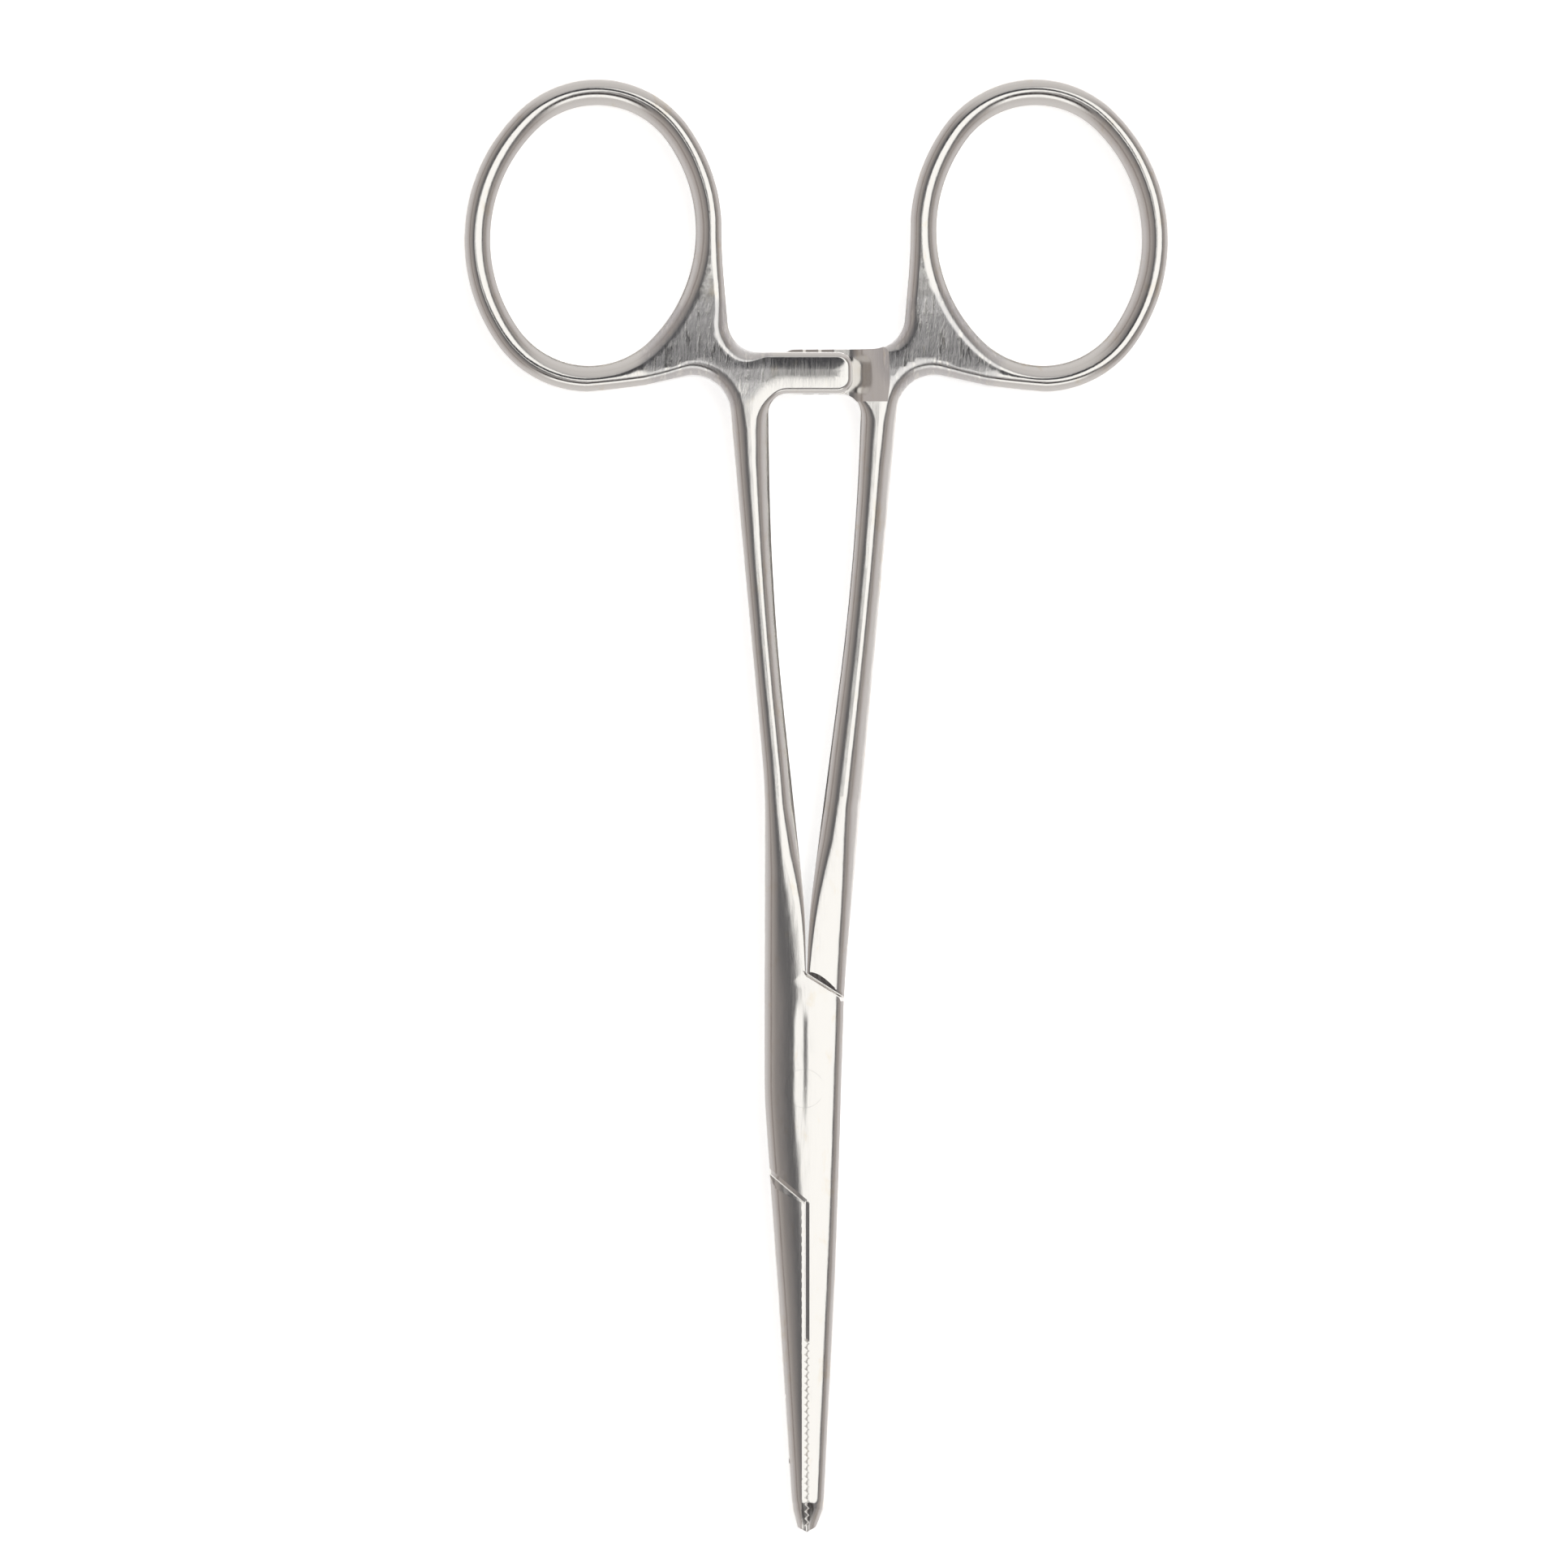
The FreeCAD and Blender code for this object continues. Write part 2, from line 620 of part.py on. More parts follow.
def cut_slot(body):
    """The slot through the box: open at both sides, closed towards the shank and towards the jaw."""
    side = "4 * box_left"
    upper_slope = f"(({upper_shoulder_y(LEFT_NOTCH_X)}) - slot_side_y) / ({LEFT_NOTCH_X} + box_left)"
    lower_side_x = right_edge_x("-slot_side_y")
    lower_slope = f"(({lower_shoulder_y(RIGHT_JAW_X)}) + slot_side_y) / ({RIGHT_JAW_X} - ({lower_side_x}))"
    sketch = outline(new_sketch(body, f"{body.Label}_slot_outline", "XY_Plane", MID), [
        ("-2 * box_left", f"slot_side_y - box_left * {upper_slope}"),
        ("2 * box_right", f"slot_side_y + (2 * box_right + box_left) * {upper_slope}"),
        (side, "box_left"),
        (f"2 * ({lower_side_x})", f"-slot_side_y + ({lower_side_x}) * {lower_slope}"),
        ("-2 * box_left", f"-slot_side_y - (2 * box_left + ({lower_side_x})) * {lower_slope}"),
        (f"-{side}", "-box_left"),
    ])
    cut(body, f"{body.Label}_slot", sketch, "tongue_thick + 2 * tongue_clearance", midplane=True)


def tongue_half():
    """Right ring, right shank, rear ratchet arm, the tongue through the box, and the left jaw."""
    body = new_body("tongue_half")
    tongue_side_y = "slot_side_y - 2 * slot_clearance"
    pad_blank(body, [
        # Left jaw's serrated face and plain face, from the tip up to the shoulder.
        (LEFT_TOOTH_X, "-jaw_length"),
        (LEFT_TOOTH_X, "-serration_start_y - serration_pitch / 2"),
        (LEFT_JAW_X, "-serration_start_y"),
        (LEFT_JAW_X, lower_shoulder_y(LEFT_JAW_X)),
        # The tongue's right side, the right shank's outer edge, ring and arm, and the inner edge.
        (right_edge_x(f"-({tongue_side_y})"), f"-({tongue_side_y})"),
        (right_edge_x("right_outer_kink_y"), "right_outer_kink_y", "bow_round / 2"),
        *reversed(ring_and_web(1, "-rear_arm_end", "window_right")),
        ("inner_bow_right_x", "inner_bow_right_y", "bow_round"),
        (f"{RIGHT_NOTCH_X} + 2 * shank_gap", "inner_kink_y - shank_gap * 6", "kink_round"),
        (RIGHT_NOTCH_X, upper_shoulder_y(RIGHT_NOTCH_X)),
        # The tongue's left side, flush with the box, and the left jaw's outer edge.
        ("-box_left", tongue_side_y),
        ("-box_left", "-jaw_left_kink_y", "kink_round"),
        ("-tip_left", f"-{TIP_START}"),
        (f"{LEFT_JAW_X} - (tip_left + {LEFT_JAW_X}) * tip_corner_share", "tip_corner_back - jaw_length"),
    ], side=1)
    round_joints(body, 1)
    cut_finger_hole(body, 1)
    cut_side_profile(body)
    tip, reach = -value(TIP_START), value("lower_shoulder_reach")
    plain_x, tooth_x, notch_y = value(LEFT_JAW_X), value(LEFT_TOOTH_X), value(upper_shoulder_y(RIGHT_NOTCH_X))

    def on_jaw_face(p):
        return plain_x - 0.01 < p.x < tooth_x + 0.01 and p.y < -reach

    def outer(p):
        in_box = abs(p.x) < value("box_left") * 0.7 and abs(p.y) < notch_y
        return p.y > tip and not (on_jaw_face(p) or in_box)

    finish_rims(body, 1, outer)
    chamfer_rims(body, "jaw_chamfer", "inner_chamfer", on_jaw_face)
    # Thin the part between the shoulders, above and below, to leave the tongue.
    for label, level, reverse in (
        ("upper", f"{MID} + tongue_thick / 2", True),
        ("lower", f"{MID} - tongue_thick / 2", False),
    ):
        sketch = outline(new_sketch(body, f"tongue_half_{label}_cheek", "XY_Plane", level), [
            ("-2 * box_left", upper_shoulder_y("-2 * box_left", "shoulder_gap")),
            ("2 * box_left", upper_shoulder_y("2 * box_left", "shoulder_gap")),
            ("2 * box_left", lower_shoulder_y("2 * box_left", "shoulder_gap")),
            ("-2 * box_left", lower_shoulder_y("-2 * box_left", "shoulder_gap")),
        ])
        cut(body, f"tongue_half_{label}_shoulders", sketch, "2 * box_thick", reverse=reverse)
    drill(body, "bore", "pin_radius + pin_clearance")
    # The rear arm is the lower half of the thickness, with its teeth facing up.
    face = f"{MID} - arm_gap / 2"
    cut_arm(body, [
        ("-rear_arm_end - arm_round", "2 * box_thick"),
        ("-rear_arm_end - arm_round", face),
        ("right_root_x", face, "root_round"),
        ("right_root_x + root_round", "2 * box_thick"),
    ])
    cut_ratchet_teeth(body, "1", "-rear_arm_end", face, f"{face} - tooth_depth")
    cut_serrations(body, LEFT_JAW_X, f"{LEFT_TOOTH_X} + serration_depth", "1")
    return body


def box_lock_pin():
    body = new_body("box_lock_pin")
    turn(body, "Revolution", "turning", PIN_SECTION)
    return body


pieces = [slotted_half(), tongue_half(), box_lock_pin()]
doc.recompute()
for item in doc.Objects:
    if {"Invalid", "Error"} & set(item.State):
        raise RuntimeError(f"{item.Label} failed: {item.State}")
for piece in pieces:
    if piece.Shape.isNull() or not piece.Shape.isValid() or len(piece.Shape.Solids) != 1:
        raise RuntimeError(f"{piece.Label} isn't one sound solid")
    print(piece.Label, round(piece.Shape.Volume, 2))
os.makedirs("parts", exist_ok=True)
for piece in pieces:
    piece.Shape.exportStep(f"parts/{piece.Label}.step")
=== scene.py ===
"""A polished steel hemostat, lying flat and seen from straight above."""

import math

import bmesh
import bpy
import numpy as np
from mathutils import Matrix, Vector
from mathutils.geometry import delaunay_2d_cdt
from mathutils.kdtree import KDTree


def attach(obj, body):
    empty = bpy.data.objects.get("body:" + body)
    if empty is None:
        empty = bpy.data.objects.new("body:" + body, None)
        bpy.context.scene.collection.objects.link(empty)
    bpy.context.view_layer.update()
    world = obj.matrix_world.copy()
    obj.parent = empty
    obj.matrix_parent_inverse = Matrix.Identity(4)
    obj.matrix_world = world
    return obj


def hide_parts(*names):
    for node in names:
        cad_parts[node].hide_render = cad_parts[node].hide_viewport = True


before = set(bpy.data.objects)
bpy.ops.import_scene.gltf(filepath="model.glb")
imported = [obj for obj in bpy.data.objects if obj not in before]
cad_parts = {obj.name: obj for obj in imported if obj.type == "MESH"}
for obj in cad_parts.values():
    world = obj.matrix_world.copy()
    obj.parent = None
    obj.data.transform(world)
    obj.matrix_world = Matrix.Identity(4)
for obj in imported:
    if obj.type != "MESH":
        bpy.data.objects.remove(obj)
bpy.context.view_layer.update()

# Lengths below are in millimetres and angles in degrees. MM turns them into metres at the end.
MM = 0.001

BOX_THICK = 5.0
MID = BOX_THICK / 2
RING_THICK = 3.8
TIP_THICK = 2.5
NOSE_LENGTH = 3.0
NOSE_THICK = 1.1
SLAB_TOP_Y = 15.5
SLAB_BOTTOM_Y = 13.4
HOLE_WIDTH = 19.74
HOLE_LENGTH = 25.1
HOLE_END_RADIUS = 8.3
RING_BAND = 2.5
RING_Y = 82.0
RING_X = {-1: -20.33, 1: 22.59}
RING_LEAN = 5.0
RING_BLEND = 12.0
WEB_CORNER_Y = 69.4
WEB_FOOT_OUT = 1.1
WEB_FOOT_IN = 2.2
THROAT_BITE = 0.34
THROAT_LEAN = 5.0
THROAT_RISE = 2.1
WEB_ROUND = 3.6
THROAT_ROUND = 3.1
WINDOW_X = {-1: -3.5, 1: 5.5}
WINDOW_ROUND = 1.9
SHANK_LEAN = 5.25
LEFT_KINK_Y = 29.3
RIGHT_KINK_Y = 9.7
INNER_KINK_Y = 17.2
INNER_BOW = {-1: (-3.2, 47.8), 1: (4.9, 50.5)}
KINK_ROUND = 60.0
BOW_ROUND = 260.0
BOX_LEFT = 3.83
BOX_RIGHT = 3.53
BOX_TAPER = 1.7
UPPER_REACH = 9.34
UPPER_ANGLE = 32.7
LOWER_REACH = 8.4
LOWER_ANGLE = 39.7
SHOULDER_GAP = 0.12
NOTCH_X = 0.2
SHANK_GAP = 0.1
SLOT_SIDE_Y = 2.5
SLOT_CLEARANCE = 0.15
TONGUE_THICK = 1.8
TONGUE_CLEARANCE = 0.05
PIN_RADIUS = 1.6
PIN_CLEARANCE = 0.03
PIN_FLARE = 0.25
JAW_LENGTH = 42.8
JAW_LEFT_KINK_Y = 0.8
JAW_RIGHT_KINK_Y = 18.8
TIP_LEFT = 1.18
TIP_RIGHT = 1.87
TIP_START_Y = 40.65
TIP_CORNER_BACK = 0.5
TIP_CORNER_SHARE = 0.55
PARTING_X = 0.14
PARTING_GAP = 0.15
GROOVE_START_Y = 24.2
GROOVE_PITCH = 0.69
GROOVE_DEPTH = 0.35
GROOVE_LAND = 0.05
ARM_BOTTOM_Y = 66.8
ARM_TOP_Y = 71.1
FRONT_ARM_END = 4.61
REAR_ARM_END = -2.35
ARM_ROUND = 1.4
ARM_GAP = 0.12
LEFT_ROOT_X = -3.0
ROOT_START_X = 5.0
ROOT_ROUND = 3.0
ROOT_ANGLE = 33.0
TOOTH_PITCH = 1.5
TOOTH_DEPTH = 0.5
TOOTH_COUNT = 3
TOOTH_INSET = 0.7

# How the polished surface falls away towards its rims.
RIM_Y = (-JAW_LENGTH, -SLAB_BOTTOM_Y, 8.0, 27.0, 60.0, 67.0)
RIM_WIDTH = (1.2, 1.3, 1.3, 1.95, 1.95, 1.5)
RIM_SLOPE = (0.6, 0.62, 0.62, 1.05, 1.05, 1.05)
RIM_POWER_LEFT = (1.6, 1.7, 1.7, 1.7, 1.7, 1.5)
RIM_POWER_RIGHT = (1.6, 1.7, 1.7, 0.52, 0.52, 0.75)
RING_OUTER_WIDTH = 1.05
RING_INNER_WIDTH = 1.5
RING_SLOPE = 1.0
RING_POWER = 0.9
CROWN_Y = (-JAW_LENGTH, -SLAB_BOTTOM_Y - 8, -6.0, 8.0, 28.0)
CROWN = (0.235, 0.235, 0.19, 0.19, 0.0)
WEB_RISE = 0.12
SWELL_Y = (50, 60, 68, 69.2, 71.5, 72.5, 73.5, 74.5, 75.5, 76.5, 78, 84)
SWELL = (0, 0.7, 1, 0.9, 0.325, 0.125, -0.035, -0.155, -0.235, -0.275, -0.275, 0)
FRONT_ARM_DROP = 0.35
DIP_X = -0.2
DIP_WIDTH = 0.5
DIP_DEPTH = 0.058
DIP_ENDS = (-8.0, 9.0)
DIP_FADE = (9.0, 3.0)
NOTCH_REACH = 1.4
NOTCH_FROM_Y = 5.0
NOTCH_RIM_Y = (9.5, 24.0)
NOTCH_RIM_SHARE = 0.16
ARM_RIM_SHARE = 0.4
ARM_RIM_X = {-1: (-6.0, -3.5), 1: (9.5, 7.0)}
ARM_RIM_LOW = (2.6, 2.2)
ARM_RIM_HIGH = (1.5, 1.4)
RING_EDGE, RING_FADE = 1.16, 0.14
RIDGE_Y = (18.0, 66.0)

# The small bevels and hollows beside the shoulders and the jaws' faces.
SHOULDER_BEVEL = 0.2
SOFT_WIDTH = 0.34
SOFT_SLOPE = 0.15
TOOTH_BEVEL = 0.14
INNER_CHAMFER = 0.23
INNER_CHAMFER_SLOPE = 0.35
WEDGE_WIDTH = 0.45
WEDGE_LEAST = 0.05
WEDGE_SLOPE = 0.28
LOWER_WEDGE_SHARE = 1.6
LOWER_WEDGE_SLOPE = 0.3
BEVEL_REACH = 0.2
FACE_REACH = 0.1
NONE = -9.0

# The pin's seat, the lip that closes the jaws' gap and the reach of the racks' cuts.
SEAT_RIM = 0.15
SEAT_DEPTH = 0.6
LIP_GAP = 0.025
LIP_BACK_X = -0.4
LIP_Z = (MID - 0.35, MID + 0.15)
ARM_SPAN = (ARM_BOTTOM_Y - 0.8, ARM_TOP_Y + 0.8)

# The mesh's own measures.
ROUND, SHARP = 0, 1
STEP = 0.3
GRID_PITCH = 0.5
GRID_ROW = 0.87
GRID_MARGIN = 0.12
RIM_ROWS = (0.1, 0.24, 0.42, 0.6, 0.78, 0.93)
EDGE_MARGIN = 0.012
RIDGE_STEP = 0.12
RIDGE_MARGIN = 0.1
CREASE_STEP = 0.23
DIP_LINES = (-1.5, -1.2, -0.95, -0.7, -0.45, -0.2, 0, 0.2, 0.45, 0.7, 0.95, 1.2, 1.5)
TURN_STEPS = 96
BATCH = 4000


def tan(angle):
    return math.tan(math.radians(angle))


def sin(angle):
    return math.sin(math.radians(angle))


def cos(angle):
    return math.cos(math.radians(angle))


def upper_y(x, gap=0.0):
    """The upper shoulder's line, or one a gap above it."""
    return (UPPER_REACH + gap - x * sin(UPPER_ANGLE)) / cos(UPPER_ANGLE)


def lower_y(x, gap=0.0):
    """The lower shoulder's line, or one a gap below it."""
    return -(LOWER_REACH + gap + x * sin(LOWER_ANGLE)) / cos(LOWER_ANGLE)


def right_edge_x(y):
    return BOX_RIGHT + y * tan(BOX_TAPER)


LEFT_TAPER = (BOX_LEFT - TIP_LEFT) / (TIP_START_Y - JAW_LEFT_KINK_Y)
LOWER_LEFT_X = -BOX_LEFT + (LOWER_REACH - JAW_LEFT_KINK_Y) * LEFT_TAPER
RIGHT_JAW_X = PARTING_X
LEFT_JAW_X = PARTING_X - PARTING_GAP
LEFT_TOOTH_X = LEFT_JAW_X + GROOVE_DEPTH
LEFT_NOTCH_X = NOTCH_X - SHANK_GAP / 2
RIGHT_NOTCH_X = NOTCH_X + SHANK_GAP / 2
THROAT_TOP = RING_Y + THROAT_RISE
RING_BOTTOM = RING_Y - HOLE_LENGTH / 2 - RING_BAND


def closed_edges(y):
    """The left and right edges of the closed forceps, up to where the shanks part."""
    left = np.interp(y, [-TIP_START_Y, -JAW_LEFT_KINK_Y], [-TIP_LEFT, -BOX_LEFT])
    ys = [-TIP_START_Y, -JAW_RIGHT_KINK_Y, 1e3]
    return left, np.interp(y, ys, [TIP_RIGHT, right_edge_x(ys[1]), right_edge_x(ys[2])])


def fillet_arc(before, corner, after, radius):
    """Points along the arc that rounds a corner."""
    a, c, b = (np.array(p, float) for p in (before, corner, after))
    u, w = (a - c) / np.linalg.norm(a - c), (b - c) / np.linalg.norm(b - c)
    half = math.acos(max(-1.0, min(1.0, float(u @ w)))) / 2
    centre = c + (u + w) / np.linalg.norm(u + w) * radius / math.sin(half)
    reach = radius / math.tan(half)
    first, last = c + u * reach - centre, c + w * reach - centre
    sweep = math.pi - 2 * half
    turn = np.sign(first[0] * last[1] - first[1] * last[0])
    count = max(2, int(math.ceil(max(radius * sweep / STEP, math.degrees(sweep) / 6))))
    angles = np.linspace(0, sweep, count + 1) * turn
    side = np.array((-first[1], first[0]))
    return [centre + (first * math.cos(t) + side * math.sin(t)) for t in angles]


def trace(corners):
    """A closed outline as points about a step apart, with the kind of edge that starts at each."""
    count = len(corners)
    points, kinds = [], []
    for i, (x, y, radius, kind) in enumerate(corners):
        if radius:
            arc = fillet_arc(corners[i - 1][:2], (x, y), corners[(i + 1) % count][:2], radius)
        else:
            arc = [np.array((x, y), float)]
        points += arc
        kinds += [kind] * len(arc)
    out, out_kinds = [], []
    for i, point in enumerate(points):
        nxt = points[(i + 1) % len(points)]
        length = np.linalg.norm(nxt - point)
        pieces = max(1, int(round(length / STEP)))
        for k in range(pieces):
            out.append(point + (nxt - point) * k / pieces)
            out_kinds.append(kinds[i])
    return np.array(out), np.array(out_kinds)


def oval(side, band, count=720):
    """The finger hole's oval, grown by a band: four tangent arcs."""
    end_centre = HOLE_LENGTH / 2 - HOLE_END_RADIUS
    slack = HOLE_WIDTH / 2 - HOLE_END_RADIUS
    side_centre = (end_centre ** 2 - slack ** 2) / (2 * slack)
    limit = math.atan2(end_centre, side_centre)
    lean = -side * RING_LEAN
    along = np.array((sin(lean), cos(lean)))
    across = np.array((cos(lean), -sin(lean)))
    middle = np.array((RING_X[side], RING_Y))
    spots = []
    for t in np.linspace(0, 2 * math.pi, count, endpoint=False):
        direction = math.cos(t) * across + math.sin(t) * along
        if abs(math.sin(t)) < math.sin(limit):
            centre = -across * side_centre * np.sign(math.cos(t))
            radius = HOLE_WIDTH / 2 + side_centre + band
        else:
            centre = along * end_centre * np.sign(math.sin(t))
            radius = HOLE_END_RADIUS + band
        spots.append(middle + centre + direction * radius)
    return np.array(spots)


def even(points):
    """The same closed line with its points evenly spaced."""
    closed = np.vstack([points, points[:1]])
    lengths = np.concatenate([[0], np.cumsum(np.linalg.norm(np.diff(closed, axis=0), axis=1))])
    spots = np.linspace(0, lengths[-1], int(lengths[-1] / STEP), endpoint=False)
    return np.stack([np.interp(spots, lengths, closed[:, i]) for i in (0, 1)], 1)


def throat_x(side, y):
    edge = RING_X[side] - side * (HOLE_WIDTH / 2 + RING_BAND - THROAT_BITE)
    return edge - side * (THROAT_TOP - y) * tan(THROAT_LEAN)


def ring_and_web(side, arm_end):
    """The corners from a half's window, round its arm and ring, to the outer end of its web."""
    arm_top = ARM_TOP_Y - (FRONT_ARM_DROP if side < 0 else 0)
    if side < 0:
        shank_x = -BOX_LEFT - (WEB_CORNER_Y - LEFT_KINK_Y) * tan(SHANK_LEAN)
    else:
        shank_x = right_edge_x(RIGHT_KINK_Y) + (WEB_CORNER_Y - RIGHT_KINK_Y) * tan(SHANK_LEAN)
    return [
        (WINDOW_X[side], ARM_BOTTOM_Y, WINDOW_ROUND, ROUND),
        (arm_end, ARM_BOTTOM_Y, ARM_ROUND, ROUND),
        (arm_end, arm_top, ARM_ROUND, ROUND),
        (throat_x(side, arm_top), arm_top, THROAT_ROUND, ROUND),
        (throat_x(side, THROAT_TOP), THROAT_TOP, 0, ROUND),
        (RING_X[side], RING_Y, 0, ROUND),
        (RING_X[side] + side * WEB_FOOT_OUT, RING_BOTTOM + RING_BAND / 3, 0, ROUND),
        (RING_X[side] - side * WEB_FOOT_IN, RING_BOTTOM, RING_BLEND, ROUND),
        (shank_x, WEB_CORNER_Y, WEB_ROUND, ROUND),
    ]


def serrated(face, apex, shift, turn):
    """The corners of the V grooves along a jaw's face, downwards, or upwards where turn is 1."""
    half = (GROOVE_PITCH - GROOVE_LAND) / 2
    corners = []
    centre = -GROOVE_START_Y - GROOVE_PITCH * shift
    while centre - half > -JAW_LENGTH:
        for x, y in ((face, centre + half), (apex, centre), (face, centre - half)):
            corners.append((x, y, 0, SHARP))
        centre -= GROOVE_PITCH
    return corners[::-turn]


def slotted_corners():
    """The slotted half's outline, from the right jaw's tip round by the ring to its serrations."""
    shoulder_x = right_edge_x(UPPER_REACH)
    tip_corner_x = RIGHT_JAW_X + (TIP_RIGHT - RIGHT_JAW_X) * TIP_CORNER_SHARE
    return [
        (RIGHT_JAW_X, -JAW_LENGTH, 0, SHARP),
        (tip_corner_x, TIP_CORNER_BACK - JAW_LENGTH, 0, ROUND),
        (TIP_RIGHT, -TIP_START_Y, 0, ROUND),
        (right_edge_x(-JAW_RIGHT_KINK_Y), -JAW_RIGHT_KINK_Y, BOW_ROUND, ROUND),
        (shoulder_x, upper_y(shoulder_x), 0, SHARP),
        (LEFT_NOTCH_X, upper_y(LEFT_NOTCH_X), 0, ROUND),
        (LEFT_NOTCH_X - SHANK_GAP, INNER_KINK_Y, KINK_ROUND, ROUND),
        (*INNER_BOW[-1], BOW_ROUND, ROUND),
        *ring_and_web(-1, FRONT_ARM_END),
        (-BOX_LEFT, LEFT_KINK_Y, KINK_ROUND, ROUND),
        (-BOX_LEFT, -JAW_LEFT_KINK_Y, KINK_ROUND, ROUND),
        (LOWER_LEFT_X, lower_y(LOWER_LEFT_X), 0, SHARP),
        (RIGHT_JAW_X, lower_y(RIGHT_JAW_X), 0, SHARP),
        *serrated(RIGHT_JAW_X, RIGHT_JAW_X + GROOVE_DEPTH, 0.5, -1),
    ]


def tongue_corners():
    """The tongue half's outline, from the left jaw's serrations round by the ring to its tip."""
    side_y = SLOT_SIDE_Y - 2 * SLOT_CLEARANCE
    tip_corner_x = LEFT_JAW_X - (TIP_LEFT + LEFT_JAW_X) * TIP_CORNER_SHARE
    return [
        (LEFT_TOOTH_X, -JAW_LENGTH, 0, SHARP),
        *serrated(LEFT_TOOTH_X, LEFT_JAW_X, 1, 1),
        (LEFT_TOOTH_X, -GROOVE_START_Y - GROOVE_PITCH / 2, 0, SHARP),
        (LEFT_JAW_X, -GROOVE_START_Y, 0, SHARP),
        (LEFT_JAW_X, lower_y(LEFT_JAW_X), 0, SHARP),
        (right_edge_x(-side_y), -side_y, 0, ROUND),
        (right_edge_x(RIGHT_KINK_Y), RIGHT_KINK_Y, BOW_ROUND / 2, ROUND),
        *reversed(ring_and_web(1, REAR_ARM_END)),
        (*INNER_BOW[1], BOW_ROUND, ROUND),
        (RIGHT_NOTCH_X + 2 * SHANK_GAP, INNER_KINK_Y - SHANK_GAP * 6, KINK_ROUND, ROUND),
        (RIGHT_NOTCH_X, upper_y(RIGHT_NOTCH_X), 0, SHARP),
        (-BOX_LEFT, side_y, 0, ROUND),
        (-BOX_LEFT, -JAW_LEFT_KINK_Y, KINK_ROUND, ROUND),
        (-TIP_LEFT, -TIP_START_Y, 0, ROUND),
        (tip_corner_x, TIP_CORNER_BACK - JAW_LENGTH, 0, SHARP),
    ]


def crossings(loop, y):
    """Which sides of a closed line cross a level of Y, and the X where they do."""
    a, b = loop, np.roll(loop, -1, 0)
    with np.errstate(divide="ignore", invalid="ignore"):
        at = a[:, 0] + (y - a[:, 1]) * (b[:, 0] - a[:, 0]) / (b[:, 1] - a[:, 1])
    return (a[:, 1] > y) != (b[:, 1] > y), at


def inside(points, loop):
    """Which points lie inside a closed line."""
    hit, at = crossings(loop, points[:, 1][:, None])
    return np.sum(hit & (points[:, 0][:, None] < at), axis=1) % 2 == 1


def span_at(loop, y):
    """The least and greatest X at which a closed line crosses a level of Y."""
    hit, at = crossings(loop, y)
    return at[hit].min(), at[hit].max()


def run_outside(line, other):
    """The indices of the one stretch of a closed line that lies outside another."""
    out = ~inside(line, other)
    start = next(i for i in range(len(line)) if out[i] and not out[i - 1])
    order = [(start + k) % len(line) for k in range(len(line))]
    return [i for i in order if out[i]]


def joined(plan, kinds, disc):
    """A half's outline: its plan joined with its ring's disc, the two joints smoothed."""
    run, arc = run_outside(plan, disc), run_outside(disc, plan)
    points = np.vstack([plan[run], disc[arc]])
    edge_kinds = np.concatenate([kinds[run], np.full(len(arc), ROUND)])
    reach = 9
    for _ in range(60):
        for joint in (0, len(run)):
            window = [(joint + k) % len(points) for k in range(-reach, reach)]
            before = [(i - 1) % len(points) for i in window]
            after = [(i + 1) % len(points) for i in window]
            points[window] = (points[window] * 2 + points[before] + points[after]) / 4
    return points, edge_kinds


def levels():
    """Half the thickness along the length, as a smooth line."""
    corners = [
        (-JAW_LENGTH, NOSE_THICK / 2, 0),
        (NOSE_LENGTH - JAW_LENGTH, TIP_THICK / 2, 2.0),
        (-SLAB_BOTTOM_Y, BOX_THICK / 2, BOW_ROUND),
        (SLAB_TOP_Y, BOX_THICK / 2, 2 * BOW_ROUND),
        (INNER_BOW[-1][1], RING_THICK / 2, 2 * BOW_ROUND),
        (2 * RING_Y, RING_THICK / 2, 0),
    ]
    points = [corners[0][:2]]
    for before, corner, after in zip(corners, corners[1:], corners[2:]):
        points += [tuple(p) for p in fillet_arc(before[:2], corner[:2], after[:2], corner[2])]
    points.append(corners[-1][:2])
    return np.array(points)


LEVELS = levels()


def half_thick(y):
    """Half the thickness on the middle line. It swells a little below the webs and dips above them."""
    return np.interp(y, LEVELS[:, 0], LEVELS[:, 1]) + WEB_RISE * np.interp(y, SWELL_Y, SWELL)


def ease(t):
    t = np.clip(t, 0, 1)
    return t * t * (3 - 2 * t)


def crown_drop(x, y):
    """The dome that the box lock and the closed jaws share, with a shallow dip along it, as a drop."""
    left, right = closed_edges(y)
    half, centre = (right - left) / 2, (right + left) / 2
    share = np.clip((x - centre) / half, -1.3, 1.3)
    dip = DIP_DEPTH * np.exp(-((x - DIP_X) / DIP_WIDTH) ** 2)
    dip = dip * ease((DIP_ENDS[1] - y) / DIP_FADE[1]) * ease((y - DIP_ENDS[0]) / DIP_FADE[0])
    return np.interp(y, CROWN_Y, CROWN) * half * share ** 2 + dip


